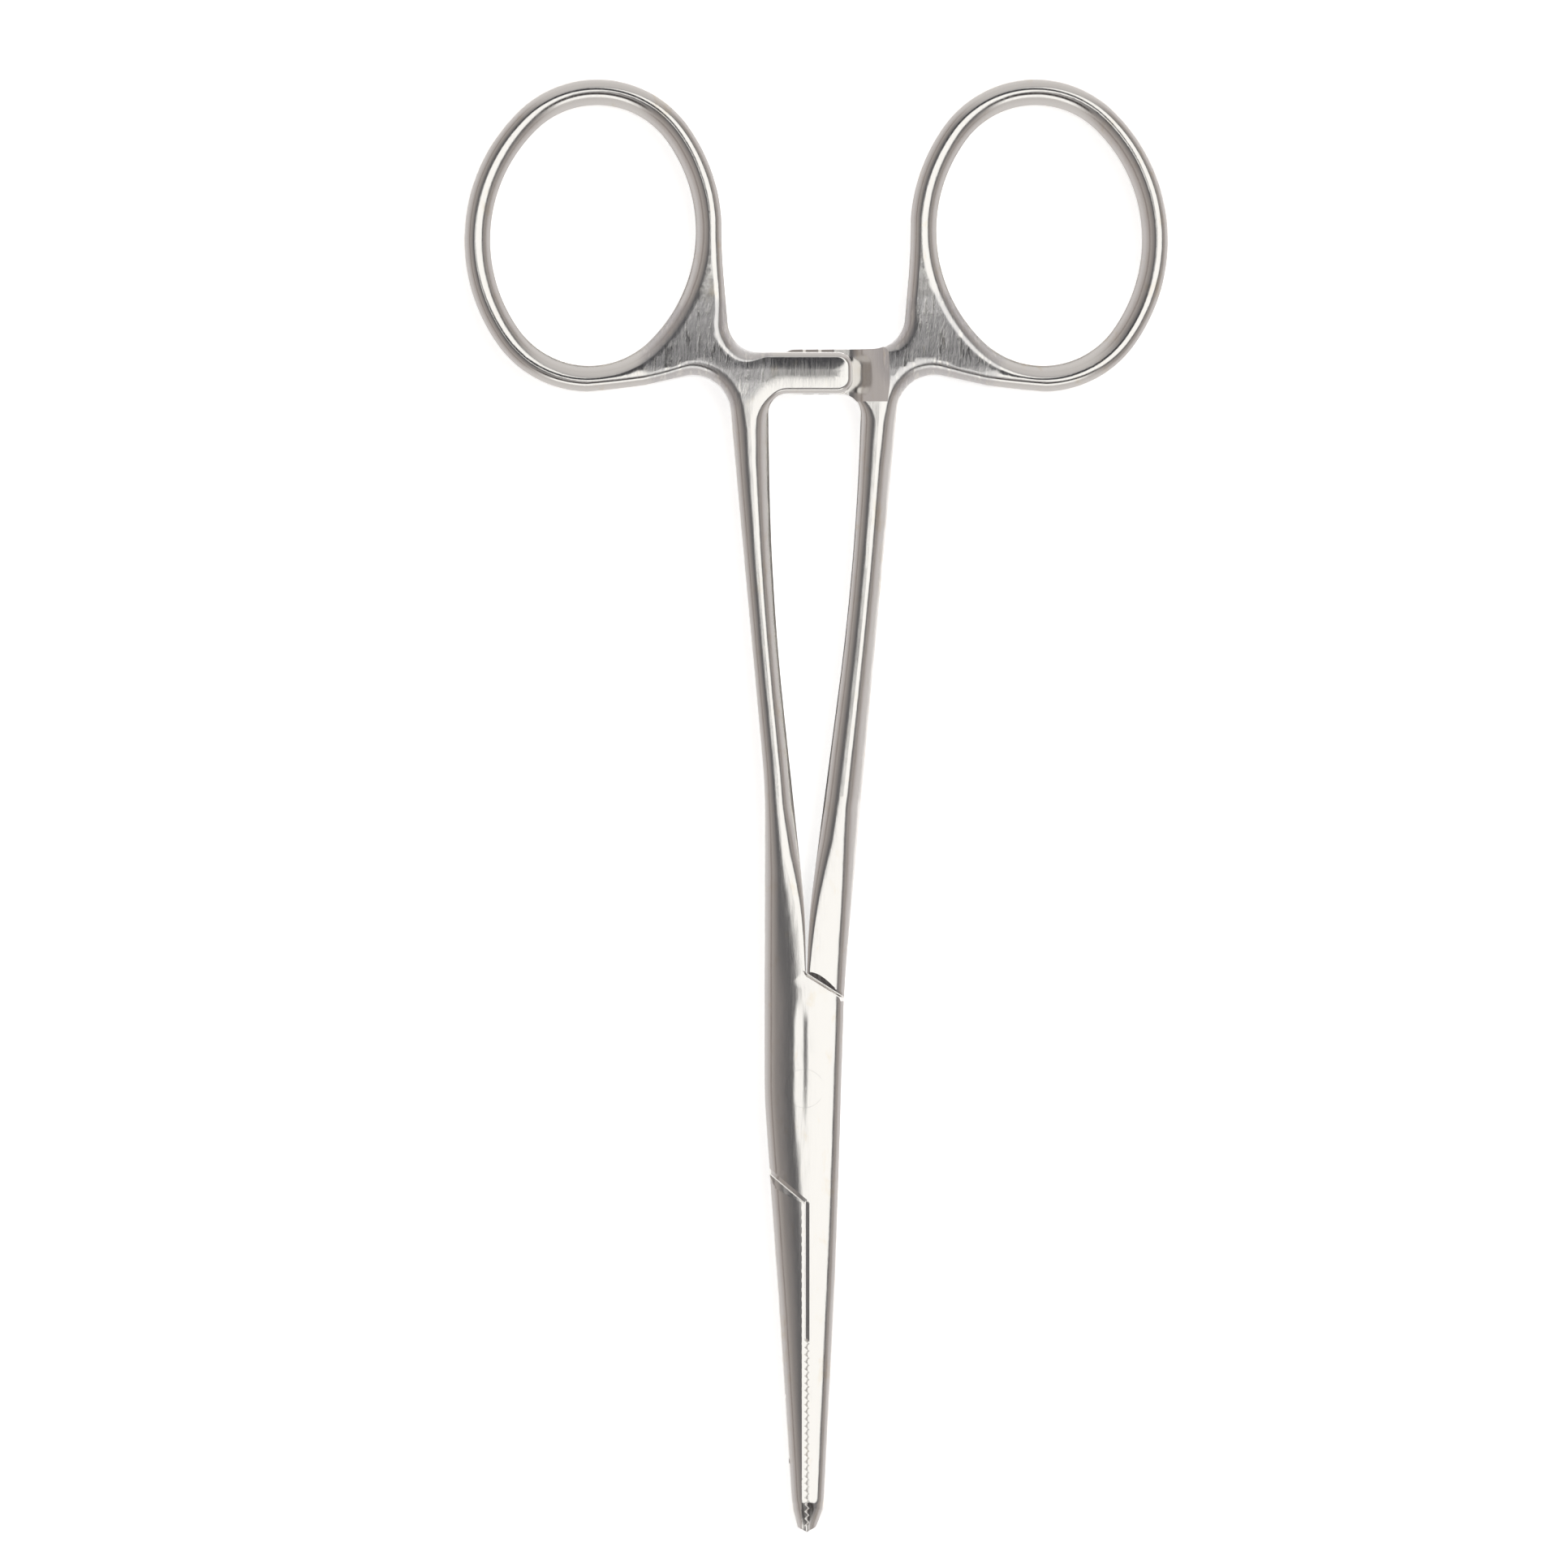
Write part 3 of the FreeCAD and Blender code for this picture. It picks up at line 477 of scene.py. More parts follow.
def rim_shape(y, ring, facing=0.0):
    """The width, edge slope and power of the rounding.

    ring is 1 on the finger ring's outside and 2 on its inside. facing is how far the way inwards points
    along X, from -1 to 1.
    """
    width = np.interp(y, RIM_Y, RIM_WIDTH)
    slope = np.interp(y, RIM_Y, RIM_SLOPE)
    right = np.interp(y, RIM_Y, RIM_POWER_RIGHT)
    power = right + (np.interp(y, RIM_Y, RIM_POWER_LEFT) - right) * ease((facing + 1) / 2)
    on_ring = np.clip(ring, 0, 1)
    target = np.where(ring > 1, RING_INNER_WIDTH, RING_OUTER_WIDTH)
    width = width + (target - width) * on_ring
    slope = slope + (RING_SLOPE - slope) * on_ring
    power = power + (RING_POWER - power) * on_ring
    return width, slope, power


def rim_share(loop, side):
    """How much of its width a rim keeps: less at the notch, on narrow shanks and along the arm."""
    x, y = loop.T
    near = (np.abs(x - NOTCH_X) < NOTCH_REACH) & (y > NOTCH_FROM_Y)
    share = np.where(near, np.interp(y, NOTCH_RIM_Y, (NOTCH_RIM_SHARE, 1)), 1.0)
    for i in np.flatnonzero((y > RIDGE_Y[0]) & (y < RIDGE_Y[1])):
        low, high = span_at(loop, y[i])
        fits = (high - low) / 2 * cos(SHANK_LEAN) / np.interp(y[i], RIM_Y, RIM_WIDTH)
        share[i] = min(share[i], fits)
    start, end = ARM_RIM_X[side]
    along = ease((x - start) / (end - start))
    level = ease((y - ARM_BOTTOM_Y + ARM_RIM_LOW[0]) / ARM_RIM_LOW[1])
    level = level * ease((ARM_TOP_Y + ARM_RIM_HIGH[0] - y) / ARM_RIM_HIGH[1])
    return share * (1 - (1 - ARM_RIM_SHARE) * along * level)


def rim_drop(d, y, ring, share, facing):
    """How far the surface drops near a rounded rim, and its slope away from the rim."""
    width, slope, power = rim_shape(y, ring, facing)
    width = width * share
    s = np.clip(1 - d / width, 0, 1)
    return slope * width / (power + 1) * s ** (power + 1), -slope * s ** power


def segment_distance(x, y, a, b):
    """The distance from a straight edge between two points."""
    dx, dy = b[0] - a[0], b[1] - a[1]
    t = np.clip(((x - a[0]) * dx + (y - a[1]) * dy) / (dx * dx + dy * dy), 0, 1)
    return np.hypot(x - a[0] - t * dx, y - a[1] - t * dy)


UPPER_ENDS = [(x, upper_y(x)) for x in (LEFT_NOTCH_X, BOX_RIGHT + 1)]
LOWER_ENDS = [(x, lower_y(x)) for x in (LOWER_LEFT_X - 1, RIGHT_JAW_X)]


def slotted_extra(x, y):
    """The small bevels along the slotted half's shoulders and jaw, as drops."""
    drop = SHOULDER_BEVEL - segment_distance(x, y, *UPPER_ENDS)
    drop = np.maximum(drop, SOFT_SLOPE * (SOFT_WIDTH - segment_distance(x, y, *LOWER_ENDS)))
    off = np.abs(x - RIGHT_JAW_X)
    face = np.where(y < -GROOVE_START_Y, TOOTH_BEVEL - off, SOFT_SLOPE * (SOFT_WIDTH - off))
    face = np.where(y < lower_y(RIGHT_JAW_X) + FACE_REACH, face, NONE)
    return np.maximum(np.maximum(drop, face), 0)


def upper_wedge(share):
    """The upper wedge's width at a share of its length."""
    return WEDGE_WIDTH * np.sin(np.pi * share ** 0.8) + WEDGE_LEAST


def lower_wedge(share):
    """The lower wedge's width at a share of its length."""
    return LOWER_WEDGE_SHARE * WEDGE_WIDTH * (1 - share) * np.minimum(share * 6, 1) + WEDGE_LEAST


def tongue_extra(x, y):
    """The tongue half's hollow wedges beside the shoulders, and its jaw's chamfer, as drops."""
    above = x * sin(UPPER_ANGLE) + y * cos(UPPER_ANGLE) - UPPER_REACH - SHOULDER_GAP
    share = np.clip((x - RIGHT_NOTCH_X) / (BOX_RIGHT - RIGHT_NOTCH_X), 0, 1)
    upper = (upper_wedge(share) - above) * WEDGE_SLOPE
    upper = np.where((above > -BEVEL_REACH) & (x > 0), upper, NONE)
    below = -(x * sin(LOWER_ANGLE) + y * cos(LOWER_ANGLE)) - LOWER_REACH - SHOULDER_GAP
    share = np.clip((x - LOWER_LEFT_X) / (LEFT_JAW_X - LOWER_LEFT_X), 0, 1)
    lower = (lower_wedge(share) - below) * LOWER_WEDGE_SLOPE
    lower = np.where((below > -BEVEL_REACH) & (x < LEFT_JAW_X + FACE_REACH), lower, NONE)
    jaw = INNER_CHAMFER_SLOPE * (INNER_CHAMFER - (LEFT_JAW_X - x))
    jaw = np.where(y < lower_y(LEFT_JAW_X), jaw, NONE)
    return np.maximum(np.maximum(np.maximum(upper, lower), jaw), 0)


def unit(vectors):
    return vectors / np.linalg.norm(vectors, axis=1)[:, None]


def clear(points, others, gap):
    """Which points keep a gap from all the others."""
    tree = KDTree(len(others))
    for i, p in enumerate(others):
        tree.insert((p[0], p[1], 0), i)
    tree.balance()
    return np.array([tree.find((p[0], p[1], 0))[2] > gap for p in points])


class Half:
    """One half: its outline, its rounded rims and the height over any point."""

    def __init__(self, side, corners, extra):
        plan, kinds = trace(corners)
        disc = even(oval(side, RING_BAND))
        self.outer, outer_kinds = joined(plan, kinds, disc)
        self.hole = even(oval(side, 0))[::-1]
        self.side = side
        self.extra = extra
        self.loops = [(self.outer, outer_kinds), (self.hole, np.full(len(self.hole), ROUND))]
        self.normals, self.edges, self.shares = [], [], []
        self.ring_centre = np.array((RING_X[side], RING_Y))
        for index, (loop, loop_kinds) in enumerate(self.loops):
            along = unit(np.roll(loop, -1, 0) - loop)
            inward = np.stack([-along[:, 1], along[:, 0]], 1)
            blend = unit(inward + np.roll(inward, 1, 0))
            sharp = np.sum(inward * np.roll(inward, 1, 0), 1) < cos(15)
            self.normals.append(blend)
            first = np.where(sharp[:, None], inward, blend)
            last = np.where(np.roll(sharp, -1)[:, None], inward, np.roll(blend, -1, 0))
            keep = loop_kinds == ROUND
            share = rim_share(loop, side) if index == 0 else np.ones(len(loop))
            self.shares.append(share)
            self.edges.append((loop[keep], np.roll(loop, -1, 0)[keep], first[keep], last[keep],
                               share[keep], np.roll(share, -1)[keep]))

    def within(self, points):
        """Which points lie on the half, seen from above."""
        return inside(points, self.outer) & ~inside(points, self.hole)

    def ring_share(self, points, inner):
        """Whether a point is on the finger ring: 0 off it, 1 on its outside, 2 on its inside."""
        if inner:
            return np.full(len(points), 2.0)
        off = points - self.ring_centre
        across, along = HOLE_WIDTH / 2 + RING_BAND, HOLE_LENGTH / 2 + RING_BAND
        far = np.hypot(off[:, 0] / across, off[:, 1] / along)
        return ease((RING_EDGE - far) / RING_FADE)

    def nearest(self, points, index):
        """The distance from a loop's rounded edges, the way inwards from the nearest, and its share."""
        a, b, na, nb, wa, wb = self.edges[index]
        distance, wide = np.empty((2, len(points)))
        away = np.empty((len(points), 2))
        step = b - a
        length = np.sum(step ** 2, 1)
        for i in range(0, len(points), BATCH):
            part = slice(i, i + BATCH)
            off_x = points[part, None, 0] - a[:, 0]
            off_y = points[part, None, 1] - a[:, 1]
            t = np.clip((off_x * step[:, 0] + off_y * step[:, 1]) / length, 0, 1)
            square = (off_x - t * step[:, 0]) ** 2 + (off_y - t * step[:, 1]) ** 2
            best = np.argmin(square, 1)
            rows = np.arange(len(best))
            distance[part] = np.sqrt(square[rows, best])
            share = t[rows, best]
            wide[part] = wa[best] * (1 - share) + wb[best] * share
            away[part] = na[best] * (1 - share)[:, None] + nb[best] * share[:, None]
        return distance, unit(away), wide

    def rims(self, points):
        """The rims' drop, its slope along X and Y, and the nearest edge's distance and direction."""
        drop = np.zeros(len(points))
        closest = np.full(len(points), 1e9)
        slope, outward = np.zeros((2, len(points), 2))
        for index in range(len(self.loops)):
            distance, away, wide = self.nearest(points, index)
            ring = self.ring_share(points, index == 1)
            part, change = rim_drop(distance, points[:, 1], ring, wide, away[:, 0])
            drop += part
            slope += change[:, None] * away
            nearer = distance < closest
            closest[nearer] = distance[nearer]
            outward[nearer] = -away[nearer]
        return drop, slope, closest, outward

    def height(self, points, drop):
        """Half the thickness of the piece over each point."""
        x, y = points.T
        return half_thick(y) - crown_drop(x, y) - drop - self.extra(x, y)

    def upwards(self, points):
        """The way out of the top surface over each point, its Z made 1."""
        _, slope, _, _ = self.rims(points)
        x, y = points.T
        eps = 1e-3

        def change(function):
            return ((function(x + eps, y) - function(x - eps, y)) / (2 * eps),
                    (function(x, y + eps) - function(x, y - eps)) / (2 * eps))

        crown_x, crown_y = change(crown_drop)
        extra_x, extra_y = change(self.extra)
        level_y = (half_thick(y + eps * 50) - half_thick(y - eps * 50)) / (eps * 100)
        gx = -crown_x - slope[:, 0] - extra_x
        gy = level_y - crown_y - slope[:, 1] - extra_y
        return np.stack([-gx, -gy, np.ones(len(gx))], 1)

    def blank(self):
        """The closed mesh before its slots are cut: vertices in millimetres and triangles."""
        spots, expected = [], []
        for index, ((loop, kinds), normals) in enumerate(zip(self.loops, self.normals)):
            keep = (kinds == ROUND) & (np.roll(kinds, 1) == ROUND)
            width = rim_shape(loop[:, 1], self.ring_share(loop, index == 1))[0] * self.shares[index]
            for row in RIM_ROWS:
                spots.append((loop + normals * (width * row)[:, None])[keep])
                expected.append((width * row)[keep])
        rim_spots, expected = np.vstack(spots), np.concatenate(expected)
        rim_spots = rim_spots[self.rims(rim_spots)[2] > expected * 0.97]
        low, high = self.outer.min(0), self.outer.max(0)
        gx, gy = np.meshgrid(np.arange(low[0], high[0], GRID_PITCH),
                             np.arange(low[1], high[1], GRID_PITCH * GRID_ROW))
        gx[1::2] += GRID_PITCH / 2
        grid = np.stack([gx.ravel(), gy.ravel()], 1)
        grid = grid[self.within(grid)]
        width, _, _ = rim_shape(grid[:, 1], self.ring_share(grid, False))
        grid = grid[self.rims(grid)[2] > width + GRID_MARGIN]
        ridge = self.ridge()
        inner = np.vstack([rim_spots, grid])
        inner = inner[clear(inner, ridge, RIDGE_MARGIN)]
        inner = np.vstack([inner, ridge, self.creases()])
        inner = inner[self.within(inner)]
        edge_points = np.vstack([self.outer, self.hole])
        inner = inner[clear(inner, edge_points, EDGE_MARGIN)]
        flat = np.vstack([edge_points, inner])
        borders, offset = [], 0
        for loop, _ in self.loops:
            borders += [(offset + i, offset + (i + 1) % len(loop)) for i in range(len(loop))]
            offset += len(loop)
        found = delaunay_2d_cdt([Vector(p) for p in flat], borders, [], 0, 1e-6)
        verts = np.array([tuple(v) for v in found[0]])
        faces = np.array([f for f in found[2] if len(f) == 3])
        faces = faces[self.within(verts[faces].mean(1))]
        used, remapped = np.unique(faces, return_inverse=True)
        verts, faces = verts[used], remapped.reshape(faces.shape)
        half = self.height(verts, self.rims(verts)[0])
        count = len(verts)
        a, b, c = (verts[faces[:, i]] for i in range(3))
        area = np.cross(b - a, c - a)
        faces[area < 0] = faces[area < 0][:, ::-1]
        edges = np.vstack([faces[:, [i, (i + 1) % 3]] for i in range(3)])
        known = {tuple(edge) for edge in edges.tolist()}
        rim = [(a, b) for a, b in known if (b, a) not in known]
        walls = [(b, a, a + count, b + count) for a, b in rim]
        polygons = [tuple(f) for f in faces] + [tuple(f[::-1] + count) for f in faces] + walls
        return np.vstack([np.column_stack([verts, MID + side * half]) for side in (1, -1)]), polygons

    def ridge(self):
        """Points along the middle of the shank, where the slopes of its two rims meet."""
        ys = np.arange(*RIDGE_Y, RIDGE_STEP)
        low, high = np.array([span_at(self.outer, y) for y in ys]).T
        for _ in range(24):
            middle = (low + high) / 2
            _, away, _ = self.nearest(np.stack([middle, ys], 1), 0)
            low = np.where(away[:, 0] > 0, middle, low)
            high = np.where(away[:, 0] > 0, high, middle)
        return np.stack([(low + high) / 2, ys], 1)

    def creases(self):
        """Points along the lines where the small bevels meet the surface."""
        spots = []
        if self.side < 0:
            for y in np.arange(-JAW_LENGTH, lower_y(RIGHT_JAW_X), CREASE_STEP):
                spots.append((RIGHT_JAW_X + (SOFT_WIDTH if y > -GROOVE_START_Y else TOOTH_BEVEL), y))
            for x in np.arange(LEFT_NOTCH_X, BOX_RIGHT, 0.2):
                spots.append((x, upper_y(x, -SHOULDER_BEVEL)))
            for share in DIP_LINES:
                spots += [(DIP_X + DIP_WIDTH * share, y) for y in np.arange(*DIP_ENDS, 0.3)]
            for x in np.arange(-BOX_LEFT, RIGHT_JAW_X + 0.2, 0.2):
                spots.append((x, lower_y(x, -SOFT_WIDTH)))
        else:
            for y in np.arange(-JAW_LENGTH, lower_y(LEFT_JAW_X), CREASE_STEP):
                spots.append((LEFT_JAW_X - INNER_CHAMFER, y))
            for share in np.arange(0.02, 1, 0.05):
                for line, wedge, start, end in (
                    (upper_y, upper_wedge, RIGHT_NOTCH_X, BOX_RIGHT),
                    (lower_y, lower_wedge, LOWER_LEFT_X, LEFT_JAW_X),
                ):
                    x = start + (end - start) * share
                    spots += [(x, line(x, SHOULDER_GAP + wedge(share) * k)) for k in (0.02, 0.5, 1)]
        return np.array(spots)


def prism(points, low, high, plane="XY"):
    """A closed prism over a polygon, as vertices and faces. On XZ it is drawn across Y."""
    count = len(points)
    verts = [(a, b, level) if plane == "XY" else (a, level, b) for level in (low, high) for a, b in points]
    faces = [tuple(range(count))[::-1], tuple(range(count, 2 * count))]
    faces += [(i, (i + 1) % count, (i + 1) % count + count, i + count) for i in range(count)]
    return verts, faces


def circle(radius, *z):
    """The points of a circle about Z, with a height where one is given."""
    turns = [2 * math.pi * k / TURN_STEPS for k in range(TURN_STEPS)]
    return [(radius * math.cos(t), radius * math.sin(t), *z) for t in turns]


def mirrored(section):
    """A section from below to the mid plane, with its mirror image after it."""
    return section + [(r, BOX_THICK - z) for r, z in reversed(section)]


def lathe(section):
    """A closed solid turned about Z from (radius, height) points, the first and last on the axis."""
    verts, faces = [(0, 0, section[0][1])], []
    rings = section[1:-1]
    for r, z in rings:
        verts += circle(r, z)
    verts.append((0, 0, section[-1][1]))
    for k in range(TURN_STEPS):
        n = (k + 1) % TURN_STEPS
        faces.append((0, 1 + n, 1 + k))
        for j in range(len(rings) - 1):
            a, b = 1 + j * TURN_STEPS, 1 + (j + 1) * TURN_STEPS
            faces.append((a + k, a + n, b + n, b + k))
        last = 1 + (len(rings) - 1) * TURN_STEPS
        faces.append((last + k, last + n, len(verts) - 1))
    return verts, faces


def add_object(name, data):
    """A new object in the scene."""
    thing = bpy.data.objects.new(name, data)
    bpy.context.scene.collection.objects.link(thing)
    return thing


def make_object(name, verts, faces):
    """A closed object from vertices in millimetres and faces, turned to face outwards."""
    mesh = bpy.data.meshes.new(name)
    verts = [tuple(float(c) for c in v) for v in verts]
    mesh.from_pydata(verts, [], [tuple(int(i) for i in f) for f in faces])
    made = bmesh.new()
    made.from_mesh(mesh)
    bmesh.ops.recalc_face_normals(made, faces=made.faces)
    made.to_mesh(mesh)
    made.free()
    return add_object(name, mesh)


def carve(thing, shapes):
    """Cut closed shapes out of an object."""
    for i, shape in enumerate(shapes):
        tool = make_object(f"{thing.name}_cut_{i}", *shape)
        cut = thing.modifiers.new("cut", "BOOLEAN")
        cut.operation = "DIFFERENCE"
        cut.solver = "EXACT"
        cut.object = tool
        bpy.context.view_layer.update()
        graph = bpy.context.evaluated_depsgraph_get()
        result = bpy.data.meshes.new_from_object(thing.evaluated_get(graph))
        thing.modifiers.clear()
        spent = (thing.data, tool.data)
        thing.data = result
        bpy.data.objects.remove(tool)
        for mesh in spent:
            bpy.data.meshes.remove(mesh)


def rack(end, way, face, back):
    """The line of an arm's cut, from its end over its teeth. way is 1 where that runs along X."""
    first = end + way * TOOTH_INSET
    line = [(end - way * ARM_ROUND, back), (end - way * ARM_ROUND, face)]
    for k in range(TOOTH_COUNT):
        x = first + way * k * TOOTH_PITCH
        line += [(x, face), (x, face - way * TOOTH_DEPTH)]
    return line + [(first + way * TOOTH_COUNT * TOOTH_PITCH, face)]


def slotted_cuts():
    """The slot through the box, the front arm's lower side with its rack, and the pin's seat."""
    upper_slope = (upper_y(LEFT_NOTCH_X) - SLOT_SIDE_Y) / (LEFT_NOTCH_X + BOX_LEFT)
    side_x = right_edge_x(-SLOT_SIDE_Y)
    lower_slope = (lower_y(RIGHT_JAW_X) + SLOT_SIDE_Y) / (RIGHT_JAW_X - side_x)
    slot = [
        (-2 * BOX_LEFT, SLOT_SIDE_Y - BOX_LEFT * upper_slope),
        (2 * BOX_RIGHT, SLOT_SIDE_Y + (2 * BOX_RIGHT + BOX_LEFT) * upper_slope),
        (4 * BOX_LEFT, BOX_LEFT),
        (2 * side_x, -SLOT_SIDE_Y + side_x * lower_slope),
        (-2 * BOX_LEFT, -SLOT_SIDE_Y - (2 * BOX_LEFT + side_x) * lower_slope),
        (-4 * BOX_LEFT, -BOX_LEFT),
    ]
    reach = TONGUE_THICK / 2 + TONGUE_CLEARANCE
    face = MID + ARM_GAP / 2
    line = rack(FRONT_ARM_END, -1, face, -BOX_THICK) + [(LEFT_ROOT_X, face), (LEFT_ROOT_X, -BOX_THICK)]
    wide = PIN_RADIUS + PIN_FLARE
    return [
        prism(slot, MID - reach, MID + reach),
        prism(line[::-1], *ARM_SPAN, plane="XZ"),
        lathe(mirrored([(0, -1), (wide, -1), (wide, SEAT_RIM), (PIN_RADIUS, SEAT_DEPTH)])),
    ]


def tongue_cuts():
    """The tongue's two faces, the rear arm's upper side with its rack and root, and the pin's bore."""
    wide = 2 * BOX_LEFT
    waist = [(x, upper_y(x, SHOULDER_GAP)) for x in (-wide, wide)]
    waist += [(x, lower_y(x, SHOULDER_GAP)) for x in (wide, -wide)]
    face = MID - ARM_GAP / 2
    far = 2 * BOX_THICK
    root = fillet_arc((REAR_ARM_END, face), (ROOT_START_X, face),
                      (ROOT_START_X + far, face + far * tan(ROOT_ANGLE)), ROOT_ROUND)
    line = rack(REAR_ARM_END, 1, face, far) + [tuple(p) for p in root]
    line.append((ROOT_START_X + (far - face) / tan(ROOT_ANGLE), far))
    return [
        prism(waist, MID + TONGUE_THICK / 2, far),
        prism(waist, -BOX_THICK, MID - TONGUE_THICK / 2),
        prism(line, *ARM_SPAN, plane="XZ"),
        lathe(mirrored([(0, -1), (PIN_RADIUS + PIN_CLEARANCE, -1)])),
    ]


def read(items, name, width=1, kind=float):
    """One property of all the items of a mesh, as an array."""
    values = np.empty(len(items) * width, kind)
    items.foreach_get(name, values)
    return values.reshape(-1, width) if width > 1 else values


def shade(thing, half):
    """Give each face corner the true surface's normal, so that reflections run smoothly."""
    mesh = thing.data
    coords = read(mesh.vertices, "co", 3)
    corner = read(mesh.loops, "vertex_index", kind=int)
    normals, centres = read(mesh.polygons, "normal", 3), read(mesh.polygons, "center", 3)
    polygon_of = np.repeat(np.arange(len(normals)), read(mesh.polygons, "loop_total", kind=int))
    mesh.polygons.foreach_set("use_smooth", [True] * len(normals))
    mesh.set_sharp_from_angle(angle=math.radians(20))
    corner_normals = read(mesh.corner_normals, "vector", 3)

    def pulled(pick):
        """Face corners, moved a little towards their faces' middles."""
        spots = coords[corner[pick]][:, :2]
        return spots + (centres[polygon_of[pick]][:, :2] - spots) * 0.02

    # The faces of the polished surface, which follow its height.
    drop, _, closest, outward = half.rims(centres[:, :2])
    target = half.height(centres[:, :2], drop)
    side = np.sign(centres[:, 2] - MID)
    off = np.abs(np.abs(centres[:, 2] - MID) - target)
    surface = (off < 0.06) & (normals[:, 2] * side > 0.05)
    pick = surface[polygon_of]
    smooth = unit(half.upwards(pulled(pick)))
    smooth[:, 2] *= side[polygon_of[pick]]
    corner_normals[pick] = smooth
    # The upright walls below its rounded rims.
    wall = (np.abs(normals[:, 2]) < 0.02) & (closest < 0.03)
    wall &= np.sum(outward * normals[:, :2], 1) > 0.97
    pick = wall[polygon_of]
    _, _, _, outward = half.rims(pulled(pick))
    corner_normals[pick] = np.column_stack([outward, np.zeros(len(outward))])
    if half.side > 0:
        # The rear arm's hollow root, whose round turns evenly from flat into the slope.
        face = MID - ARM_GAP / 2
        root = (np.abs(normals[:, 1]) < 0.02) & (normals[:, 2] > 0.3) & (centres[:, 2] > face - 0.02)
        root &= (centres[:, 1] > ARM_SPAN[0]) & (centres[:, 1] < ARM_SPAN[1]) & ~surface
        root &= centres[:, 0] > REAR_ARM_END + TOOTH_INSET + TOOTH_COUNT * TOOTH_PITCH
        pick = root[polygon_of]
        x = coords[corner[pick]][:, 0]
        start = ROOT_START_X - ROOT_ROUND * tan(ROOT_ANGLE / 2)
        turn = np.arcsin(np.clip((x - start) / ROOT_ROUND, 0, sin(ROOT_ANGLE)))
        corner_normals[pick] = np.column_stack([-np.sin(turn), np.zeros(len(x)), np.cos(turn)])
    mesh.normals_split_custom_set(corner_normals.tolist())


def scale_down(thing):
    """Millimetres into metres."""
    coords = read(thing.data.vertices, "co", 3)
    thing.data.vertices.foreach_set("co", coords.ravel() * MM)
    thing.data.update()


def add_lip(thing):
    """A low lip along the left jaw's face that all but closes the gap to the right jaw."""
    reach = PARTING_GAP - LIP_GAP
    face = [(LEFT_TOOTH_X, -JAW_LENGTH + 0.3)]
    face += [c[:2] for c in serrated(LEFT_TOOTH_X, LEFT_JAW_X, 1, 1) if c[1] > -JAW_LENGTH + 0.5]
    face += [(LEFT_TOOTH_X, -GROOVE_START_Y - GROOVE_PITCH / 2), (LEFT_JAW_X, -GROOVE_START_Y),
             (LEFT_JAW_X, lower_y(LEFT_JAW_X) - 0.1)]
    outline = [(x + reach, y) for x, y in face]
    outline += [(LIP_BACK_X, face[-1][1]), (LIP_BACK_X, face[0][1])]
    verts, faces = prism(outline, *LIP_Z)
    made = bmesh.new()
    made.from_mesh(thing.data)
    added = [made.verts.new(v) for v in verts]
    new = [made.faces.new([added[i] for i in f]) for f in faces]
    bmesh.ops.recalc_face_normals(made, faces=new)
    bmesh.ops.triangulate(made, faces=new)
    made.to_mesh(thing.data)
    made.free()


def build_half(name, side, corners, extra, cuts):
    """One half, cut and shaded, with the shape that it follows."""
    half = Half(side, corners, extra)
    thing = make_object(name, *half.blank())
    carve(thing, cuts)
    if side > 0:
        add_lip(thing)
    shade(thing, half)
    scale_down(thing)
    return thing, half


slotted, slotted_shape = build_half(
    "slotted_half_forging", -1, slotted_corners(), slotted_extra, slotted_cuts())
tongue, _ = build_half(
    "tongue_half_forging", 1, tongue_corners(), tongue_extra, tongue_cuts())


def build_pin():
    """The rivet pin, its ends ground to the box lock's own surface."""
    rings = [0.25, 0.5, 0.75, 1.0, 1.25, 1.5, 1.7, PIN_RADIUS + PIN_FLARE - 0.01]

    def ring_index(level, k):
        return 1 + level * TURN_STEPS + k % TURN_STEPS

    tops = [(0.0, 0.0)]
    for radius in rings:
        tops += circle(radius)
    spots = np.array(tops)
    half = slotted_shape.height(spots, slotted_shape.rims(spots)[0])
    top_normals = slotted_shape.upwards(spots)
    end = [(0, ring_index(0, k), ring_index(0, k + 1)) for k in range(TURN_STEPS)]
    for level in range(len(rings) - 1):
        end += [(ring_index(level, k), ring_index(level + 1, k), ring_index(level + 1, k + 1),
                 ring_index(level, k + 1)) for k in range(TURN_STEPS)]
    verts, faces = [], []
    for side in (1, -1):
        base = len(verts)
        verts += [(x, y, MID + side * h) for (x, y), h in zip(tops, half)]
        faces += [tuple(base + i for i in f[::side]) for f in end]
    rim = [ring_index(len(rings) - 1, k) for k in range(TURN_STEPS)]
    neck = len(verts)
    for z in (BOX_THICK - SEAT_DEPTH, SEAT_DEPTH):
        verts += circle(PIN_RADIUS, z)
    levels = (rim, range(neck, neck + TURN_STEPS), range(neck + TURN_STEPS, len(verts)),
              [len(tops) + i for i in rim])
    for k in range(TURN_STEPS):
        n = (k + 1) % TURN_STEPS
        faces += [(a[k], b[k], b[n], a[n]) for a, b in zip(levels, levels[1:])]
    pin = make_object("box_lock_rivet", verts, faces)
    mesh = pin.data
    corner_normals = []
    for polygon in mesh.polygons:
        for i in polygon.vertices:
            normal = polygon.normal.copy()
            if abs(normal.z) > 0.7:
                normal = Vector((*top_normals[i % len(tops)][:2], math.copysign(1, normal.z)))
            corner_normals.append(tuple(normal.normalized()))
    mesh.polygons.foreach_set("use_smooth", [True] * len(mesh.polygons))
    mesh.normals_split_custom_set(corner_normals)
    scale_down(pin)
    return pin


pin = build_pin()


